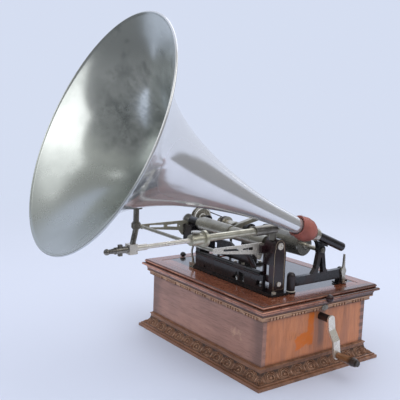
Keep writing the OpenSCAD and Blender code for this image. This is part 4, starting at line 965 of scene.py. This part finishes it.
@dataclass
class Assembly:
    """A sub-assembly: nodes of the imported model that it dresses, and pieces that it adds."""

    frame: dict[str, Any]
    finishes: Materials

    def dress(self, **nodes: str) -> None:
        """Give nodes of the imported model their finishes.

        Args:
            nodes: Under the name of each finish, the names of its nodes with spaces between them.
        """
        for finish, names in nodes.items():
            for name in names.split():
                mesh = self.frame["nodes"][name].data
                mesh.materials.clear()
                mesh.materials.append(self.finishes[finish])
                LOG.info("node %s: finish %s", name, finish)


@dataclass
class Wood(Assembly):
    """The case and the hinged deck: finishes, carving and small trim.

    Attributes:
        rings: Height, radius and half width of each ring of a rosette; the first is its boss.
        petals: The same for the ring that is cut into petals.
        dart: Height, half width and half length of the dart between two rosettes.
    """

    hollow_back: float = 0.004
    hollow_in: float = 0.001
    hollow_z: float = 0.029
    hollow_rise: float = 0.020
    hollow_foot: float = math.radians(-93)
    hollow_turn: float = math.radians(-74)
    face_h: float = 0.0235
    face_mid: float = 0.47
    rosette_pitch: float = 0.0335
    rings: tuple[Point, ...] = (
        (0.95, 0.0, 0.0026), (0.85, 0.0084, 0.0013), (0.75, 0.0118, 0.0011), (0.60, 0.0149, 0.0010))
    petals: Point = (0.70, 0.0046, 0.0022)
    petal_count: int = 8
    dart: Point = (0.85, 0.0016, 0.010)
    carve_rows: int = 30
    carve_step: float = 0.00085
    relief: float = 0.0030
    proud: float = 0.00006
    sunk: float = 0.0004
    bevel: float = 0.0016
    plate_y: float = 0.0085
    plate_half: float = 0.0088
    plate_rise: float = 0.0058
    plate_turn: float = 0.00045
    case_l: float = field(init=False)
    case_w: float = field(init=False)
    plinth_out: float = field(init=False)

    def __post_init__(self) -> None:
        """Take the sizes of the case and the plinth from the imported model."""
        case, plinth = (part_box(node)[1] for node in ("case_long_panels", "plinth_mouldings"))
        self.case_l, self.case_w = 2 * case.x, 2 * case.y
        self.plinth_out = plinth.x - case.x

    def build(self) -> None:
        """Dress the wooden nodes and build the carving and the pressed plate."""
        self.dress(
            wall_wood="case_long_panels case_left case_bottom",
            end_wood="case_right",
            plinth_wood="plinth_mouldings",
            cornice_wood="cornice_strips",
            lid_wood="deck_panel",
            lid_rim_wood="deck_frame",
            button_lacquer="deck_catch",
            brass="hinge_case_leaves hinge_deck_leaves",
        )
        for side, name in enumerate(("back", "left", "front", "right")):
            self.carving(side, name)
        self.catch_plate()

    def cove(self, s: float) -> tuple[float, float, float, float]:
        """Point and outward direction on the hollow face of the plinth.

        Args:
            s: Place up the hollow, from 0 at its foot to 1 at its top.

        Returns:
            Outward place, height, and the outward and upward parts of the direction.
        """
        edge = self.plinth_out - self.hollow_back
        depth, rise = edge - self.hollow_back, self.hollow_rise
        a = self.hollow_foot + self.hollow_turn * s
        outward, upward = -math.cos(a) / depth, -math.sin(a) / rise
        size = math.hypot(outward, upward)
        x, z = edge - self.hollow_in + depth * math.cos(a), self.hollow_z + rise * math.sin(a)
        return x, z, outward / size, upward / size

    def carved_height(self, x: float, up: float, pitch: float) -> float:
        """Height of the carving at a place.

        Args:
            x: Place along the side, from a rosette's middle.
            up: Place up the hollow, from its middle.
            pitch: Distance from one rosette to the next.

        Returns:
            The height, from 0 to 1.
        """
        r = math.hypot(x, up * 1.05)

        def ring(high: float, at: float, width: float) -> float:
            """Round-topped ring, or a boss where its radius is 0."""
            return high * math.sqrt(max(0.0, 1 - ((r - at) / width) ** 2))

        petal = ring(*self.petals) * (0.55 + 0.45 * math.cos(self.petal_count * math.atan2(up, x)))
        high, wide, long = self.dart
        between = max(0.0, 1 - ((pitch / 2 - abs(x)) / wide) ** 2)
        dart = high * between * max(0.0, 1 - (up / long) ** 2)
        return max(petal, dart, *(ring(*sizes) for sizes in self.rings))

    def carving(self, side: int, name: str) -> None:
        """Carve a running row of rosettes along one side of the plinth.

        Args:
            side: Number of quarter turns from the back.
            name: Name of the side.
        """
        length, depth = (self.case_w, self.case_l) if side % 2 else (self.case_l, self.case_w)
        turn = Matrix.Rotation(math.radians(90 * side), 3, "Z")
        count = round(length / self.rosette_pitch)
        pitch = length / count
        rows, cols = self.carve_rows, int(length / self.carve_step)
        shape, relief = Shape(), []

        def at(i: int, j: int) -> Vector:
            """Point of the carved face, or of the back, which is sunk into the moulding.

            Args:
                i: Step up the hollow.
                j: Step along the side; the last two are the ends of the back.

            Returns:
                The point.
            """
            s = i / (rows - 1)
            out, z, nx, nz = self.cove(s)
            half = length / 2 + out - self.sunk
            x, high, lift = half if j == cols else -half, 0.0, -self.sunk
            if j < cols:
                x = -half + 2 * half * j / (cols - 1)
                from_mid = (x + pitch / 2) % pitch - pitch / 2 if count % 2 else x % pitch - pitch / 2
                edge = min(1.0, s * 14, (1 - s) * 14, (half - abs(x)) / self.bevel)
                up = (s - self.face_mid) * self.face_h
                high = max(0.0, edge) * self.carved_height(from_mid, up, pitch)
                lift = self.proud + high * self.relief
            relief.append(high)
            return turn @ Vector((x, depth / 2 + out + nx * lift, z + nz * lift))

        shape.grid(rows, cols + 2, at, ring=True, ends=True)
        shape.marks["relief"] = relief
        shape.piece(f"carving_{name}", self.finishes["carved_wood"], "case_wood", "case", 60.0)

    def catch_plate(self) -> None:
        """Pressed plate on the cornice, under the turn button of the deck."""
        _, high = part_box("cornice_strips")
        mid_z = middle("cornice_strips").z
        shape = Shape()
        rows, cols = 25, 25

        def at(i: int, j: int) -> Vector:
            """Point of the pressed front, or in the last two rows of the flat back.

            Args:
                i: Step out from the middle, then back in behind the plate.
                j: Step round it.

            Returns:
                The point.
            """
            r = i / (rows - 1) if i < rows else rows + 1 - i
            a = 2 * math.pi * j / (cols - 1)
            wavy = math.cos(8 * a)
            dish = 0.0007 * (1 - r**3) + (0.0005 * math.sin(r * 9.0) + 0.0003 * wavy * r) * (1 - r)
            proud = self.plate_turn + dish if i < rows else 0.00002
            reach = r * (1 + 0.10 * wavy)
            y = self.plate_y + self.plate_half * reach * math.cos(a)
            z = mid_z + self.plate_rise * reach * math.sin(a)
            return Vector((high.x + proud, y, z))

        shape.grid(rows + 2, cols, at)
        shape.piece("catch_plate", self.finishes["dull_nickel"], "nickel", "case")


@dataclass
class Horn(Assembly):
    """The bell, its leather sleeve and the pieces behind it."""

    rim: Point = (0.135, -0.443, 0.449)
    rise: float = math.radians(23.06)
    turn: float = math.radians(3.54)
    bell_r: float = 0.190
    floor_r: float = -0.10435
    bend: float = 0.0655
    power: float = 0.4754
    neck_r: float = 0.0146
    neck_taper: float = 0.045
    length: float = 0.440
    wall: float = 0.0012
    rim_r: float = 0.0019
    leather_at: float = 0.433
    leather_l: float = 0.044
    leather_r: float = 0.0225
    leather_lip: float = 0.004
    leather_end_r: float = 0.0117
    leather_bore_r: float = 0.0095
    play: float = 0.0004
    seam_at: float = math.radians(255)
    seam_half: float = 0.06
    stitches: int = 9
    stitch_pitch: float = 0.0025
    thread_r: float = 0.00024

    def axis(self) -> Axis:
        """Axis of the horn, from its mouth to its neck.

        Returns:
            The axis, with its origin in the middle of the mouth.
        """
        flat = math.cos(self.rise)
        way = Vector((math.sin(self.turn) * flat, math.cos(self.turn) * flat, -math.sin(self.rise)))
        return Axis(Vector(self.rim), way)

    def flare(self, t: float) -> float:
        """Outer radius of the bell at a distance behind its rim.

        Args:
            t: Distance behind the rim, along the axis.

        Returns:
            The radius: a curve that opens to the rim, blended into a slim cone at the neck.
        """
        bell = max(0.001, self.floor_r + (self.bell_r - self.floor_r) / (1 + t / self.bend) ** self.power)
        neck = self.neck_r + self.neck_taper * (self.length - t)
        return (bell**10 + neck**10) ** 0.1

    def build(self) -> None:
        """Build the horn and dress what holds it."""
        self.bell()
        self.sleeve()
        self.dress(nickel="tube_ring", black_japan="sound_tube")

    def bell(self) -> None:
        """Spun bell with a rolled rim, in place of its plain node."""
        shape = Shape()
        steps, turns = 90, 180
        places = [self.length * (i / steps) ** 1.7 for i in range(steps + 1)]
        angles = [math.radians(-150 + 10 * k) for k in range(23)]
        loop = [(self.bell_r + self.rim_r * math.cos(a), self.rim_r * math.sin(a)) for a in angles]
        loop += [(self.flare(t), t) for t in places if t > self.rim_r * 0.9]
        loop += [(self.flare(t) - self.wall, t) for t in reversed(places) if t > 0.0004]
        axis = self.axis()
        shape.lathe(axis, loop, turns)
        shape.marks["reach"] = [t for _, t in loop + loop[:1] for _ in range(turns)]
        bell = shape.piece("spun_bell", self.finishes["horn_outside"], "horn_metal", "horn", 50.0)
        bell.data.materials.append(self.finishes["horn_inside"])
        for face in bell.data.polygons:
            arm = face.center - axis.origin
            across = arm - axis.way * arm.dot(axis.way)
            if face.normal.dot(across) < 0 and across.length < self.bell_r - 0.0004:
                face.material_index = 1
        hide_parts("horn_bell")

    def sleeve(self) -> None:
        """Leather sleeve with creases, gathers and a sewn seam, in place of its plain node."""
        r, t0, length = self.leather_r, self.leather_at, self.leather_l
        bore = self.flare(t0) + self.play
        lip = bore + self.leather_lip
        last = t0 + length - self.play
        out = [(bore + 0.0008, t0 + 0.0010), (lip - 0.0010, t0 - 0.0012)]
        out += [(lip + 0.0007, t0 - 0.0012), (lip + 0.0004, t0 + 0.0014)]
        profile = ((0.09, lip), (0.27, r * 0.95), (0.45, r), (0.64, r * 0.95), (0.83, r * 0.78),
                   (1.0, self.leather_end_r))
        for (s0, r0), (s1, r1) in zip(profile, profile[1:]):
            for k in range(6):
                s = s0 + (s1 - s0) * k / 6
                out.append((r0 + (r1 - r0) * k / 6, t0 + length * s - self.play))
        out.append((self.leather_end_r, last))
        inside = [(self.leather_bore_r, last), (self.leather_bore_r, t0 + length * 0.9)]
        inside += [(bore, t0 + length * 0.62), (bore, t0 + 0.003)]
        loop = out + inside + out[:1]
        axis, turns = self.axis(), 144

        def at(i: int, j: int) -> Vector:
            """Point of the creased leather.

            Args:
                i: Number of the point on the section.
                j: Step round the sleeve.

            Returns:
                The point.
            """
            radius, t = loop[i]
            a = 2 * math.pi * j / turns
            s = (t - t0) / length
            if 3 <= i < len(out):
                gather = max(0.0, s - 0.55) / 0.45
                radius += 0.00055 * gather * math.cos(22 * a + 1.5 * math.sin(3 * a))
                radius += 0.00035 * math.sin(5 * a + 9 * s) * math.sin(math.pi * min(1.0, s * 1.2))
            if i < 4:
                t += 0.0008 * math.sin(3 * a + 0.6)
            return axis.at(radius, t, a)

        shape = Shape()
        shape.grid(len(loop), turns, at, ring=True)
        sleeve = shape.piece("leather_sleeve_sewn", self.finishes["red_hide"], "red_leather", "deck", 70.0)
        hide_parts("leather_sleeve")
        seam = Shape()
        stitch = ((-0.0002, -0.0009), (0.0004, 0.0), (-0.0002, 0.0009))
        for k in range(self.stitches):
            t = t0 + 0.006 + self.stitch_pitch * k
            for a in (self.seam_at - self.seam_half, self.seam_at + self.seam_half):
                seam.tube([axis.at(r + high, t + along, a) for high, along in stitch], self.thread_r, 6)
        seam.piece("sleeve_stitches", self.finishes["sewing_thread"], "red_leather", "deck")


@dataclass
class Works(Assembly):
    """The castings, mandrel, gate, bail, crane and motor."""

    line_half: float = 0.0125
    line_rise: float = 0.004
    line_drop: float = 0.0135
    line_ring: float = 0.0106
    line_width: float = 0.0009
    line_proud: float = 0.00008
    rims_back: float = 0.002
    cup_rise: float = 0.003
    sunk: float = 0.0003

    def build(self) -> None:
        """Dress the works, line the pedestal and add the turned trim."""
        self.dress(
            black_japan="bedplate spindle_standard gate_pivot_post gate_rest_post gate_arm bail_stay "
                        "speed_knob crank_escutcheon crank_hub",
            maroon_japan="right_pedestal",
            aged_nickel="horn_post horn_post_nut clamp_lever",
            dull_nickel="crane_socket gate_centre",
            nickel="lever_foot crane_thumb_screw gate_latch mandrel_spindle sound_box start_lever "
                   "idler_gear",
            worn_nickel="guide_tube carriage reproducer_arm bail_bar",
            cream_nickel="crane_tube bail_arm_left",
            mandrel_nickel="mandrel",
            crank_nickel="crank_arm",
            pale_nickel="bail_arm_right bed_screws crane_rod crane_clamp",
            steel="motor_frame feed_screw mainspring barrel_arbor pawl winding_arbor drive_shaft",
            brass="spring_barrel governor",
            belt_hide="belts",
            grip_wood="crank_handle",
        )
        self.pedestal_line()
        self.idler_rims()
        self.pivot_cup()

    def pedestal_line(self) -> None:
        """Gilt line round the outer face of the pedestal and over its bearing."""
        low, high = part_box("right_pedestal")
        _, y, z = middle("guide_tube")
        left, right = y - self.line_half, y + self.line_half
        foot, shoulder = low.z + self.line_rise, z - self.line_drop
        outline = [(left, foot), (right, foot), (right, shoulder)]
        for degrees in range(-20, 201, 20):
            a = math.radians(degrees)
            outline.append((y + self.line_ring * math.cos(a), z + self.line_ring * math.sin(a)))
        outline.append((left, shoulder))
        shape = Shape()
        loop = [Vector((high.x, *point)) for point in outline]
        shape.ribbon(loop, Vector((1, 0, 0)), self.line_width, self.line_proud)
        shape.piece("pedestal_line", self.finishes["gilt_lining"], "black_iron", "deck")

    def idler_rims(self) -> None:
        """Turned rim and collar on the face of the idler wheel, near white as a painted glint."""
        _, y, z = middle("idler_gear")
        axis = Axis(Vector((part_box("idler_gear")[1].x - self.rims_back, y, z)), Vector((1, 0, 0)))
        shape = Shape()
        for inner, outer, proud in ((0.0196, 0.0222, 0.0011), (0.0074, 0.0096, 0.0008)):
            face = [(inner + 0.0004, proud), (outer - 0.0004, proud)]
            shape.lathe(axis, [(inner, -self.sunk), *face, (outer, -self.sunk)])
        shape.piece("idler_rims", self.finishes["bright_edge"], "nickel", "idler")

    def pivot_cup(self) -> None:
        """Bright cup round the foot of the gate's pivot."""
        x, y, _ = middle("gate_pivot_post")
        axis = Axis(Vector((x, y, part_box("gate_pivot_post")[0].z + self.cup_rise)), Vector((0, 0, 1)))
        foot = [(0.0079, -0.0002), (0.0094, -0.0002)]
        shape = Shape()
        shape.lathe(axis, [*foot, (0.0093, 0.0010), (0.0083, 0.0018), (0.0079, 0.0018)])
        shape.piece("pivot_cup", self.finishes["pale_nickel"], "nickel", "deck")


# Studio


@dataclass
class Studio:
    """Pale floor, soft light and the camera."""

    floor: Colour = (0.600, 0.650, 0.795)
    haze: Colour = (0.668, 0.730, 0.880)
    light: Colour = (0.88, 0.88, 0.88)
    room: Colour = (0.145, 0.148, 0.150)
    ceiling: Colour = (0.38, 0.39, 0.37)
    azimuth: float = math.radians(53.69)
    elevation: float = math.radians(8.56)
    roll: float = math.radians(-2.11)
    focal_px: float = 651.11
    photo_px: int = 400
    offset: Point = (-0.1207, 0.29361, 1.38328)
    target: Point = (0.0, -0.1, 0.25)
    floor_r: float = 9.0

    def build(self) -> None:
        """Set the stage."""
        bpy.context.scene.view_settings.view_transform = "Standard"
        self.world()
        self.ground()
        self.camera()
        self.lamp("key_light", (1.7, 0.4, 2.4), 2.2, 20.0)
        self.lamp("front_light", (-0.3, -2.2, 1.75), 1.9, 12.6)
        self.lamp("back_light", (-0.9, 1.6, 2.0), 2.0, 14.0)

    @staticmethod
    def beside(x: Value, y: Value) -> Value:
        """1 where a direction misses the pale backdrop behind the object, and 0 on it."""
        along = (y * 0.6 - x * 0.8) / ((x * x + y * y) ** 0.5 + 0.0001)
        return along.step(0.56, 0.44)

    def world(self) -> None:
        """Soft light from all round, a pale background, and a darker room beside it for reflections."""
        world = bpy.data.worlds.new("studio")
        bpy.context.scene.world = world
        world.use_nodes = True
        g = Graph(world.node_tree)
        x, y, z = g.axes(g.add("ShaderNodeTexCoord", {}, {}, "Generated"))
        dark = g.mix(z.step(0.15, 0.7), self.room, self.ceiling)
        mirrored = g.mix(self.beside(x, y), self.haze, dark)
        glossy = g.add("ShaderNodeLightPath", {}, {}, "Is Glossy Ray")
        seen = g.add("ShaderNodeBackground", {}, {0: g.mix(glossy, self.haze, mirrored)})
        light = g.add("ShaderNodeBackground", {}, {0: self.light})
        camera = g.add("ShaderNodeLightPath", {}, {}, "Is Camera Ray")
        through = g.add("ShaderNodeLightPath", {}, {}, "Is Transmission Ray")
        shown = camera.most(glossy).most(through)
        mix = g.add("ShaderNodeMixShader", {}, {0: shown, 1: light, 2: seen})
        g.add("ShaderNodeOutputWorld", {}, {0: mix}, None)

    def ground(self) -> None:
        """Round pale floor that fades into the background."""
        g = Paint("studio_floor")
        g.surface(Base_Color=self.floor, Roughness=0.75, Specular_IOR_Level=0.1)
        x, y, _ = g.axes(g.point)
        reach = (x * x + y * y) ** 0.5
        far = reach.step(0.6, 2.2)
        glossy = g.add("ShaderNodeLightPath", {}, {}, "Is Glossy Ray")
        dim = glossy * self.beside(x, y) * reach.step(0.85, 1.0)
        far = far.most(dim)
        glow = g.add("ShaderNodeEmission", {}, {0: g.mix(dim, self.haze, self.room), 1: 1.0})
        lit = Value(g, g.shader.outputs[0])
        blend = g.add("ShaderNodeMixShader", {}, {0: far, 1: lit, 2: glow})
        g.tree.links.new(blend.socket, g.output.inputs[0])
        turns = 96
        angles = [2 * math.pi * k / turns for k in range(turns)]
        edge = [(self.floor_r * math.cos(a), self.floor_r * math.sin(a), 0.0) for a in angles]
        faces = [(0, k + 1, (k + 1) % turns + 1) for k in range(turns)]
        mesh = bpy.data.meshes.new("floor")
        mesh.from_pydata([(0.0, 0.0, 0.0), *edge], [], faces)
        mesh.materials.append(g.material)
        link("floor", mesh)

    def lamp(self, name: str, place: Point, size: float, power: float) -> None:
        """Add a soft square lamp that looks at the object.

        Args:
            name: Name of the lamp.
            place: Where it stands.
            size: Side of its square.
            power: Its power in watts.
        """
        data = bpy.data.lights.new(name, "AREA")
        data.size = size
        data.energy = power
        lamp = link(name, data)
        lamp.location = place
        look = Vector(self.target) - Vector(place)
        lamp.rotation_euler = look.to_track_quat("-Z", "Y").to_euler()

    def camera(self) -> None:
        """Camera at the angle of the photograph."""
        a, e, r = self.azimuth, self.elevation, self.roll
        right = Vector((math.cos(a), math.sin(a), 0))
        back = Vector((math.sin(a) * math.cos(e), -math.cos(a) * math.cos(e), math.sin(e)))
        up = back.cross(right)
        place = right * self.offset[0] + up * self.offset[1] + back * self.offset[2]
        rolled = (right * math.cos(r) - up * math.sin(r), right * math.sin(r) + up * math.cos(r), back)
        data = bpy.data.cameras.new("camera")
        data.sensor_width = 36.0
        data.lens = data.sensor_width * self.focal_px / self.photo_px
        data.clip_end = 50.0
        camera = link("camera", data)
        camera.matrix_world = Matrix.Translation(place) @ Matrix(rolled).transposed().to_4x4()
        bpy.context.scene.camera = camera


def main() -> None:
    """Build the object's looks and the studio."""
    logging.basicConfig(level=logging.INFO, format="%(name)s: %(message)s")
    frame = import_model()
    finishes = make_finishes()
    Wood(frame, finishes).build()
    Horn(frame, finishes).build()
    Works(frame, finishes).build()
    Studio().build()


if __name__ == "__main__":
    main()
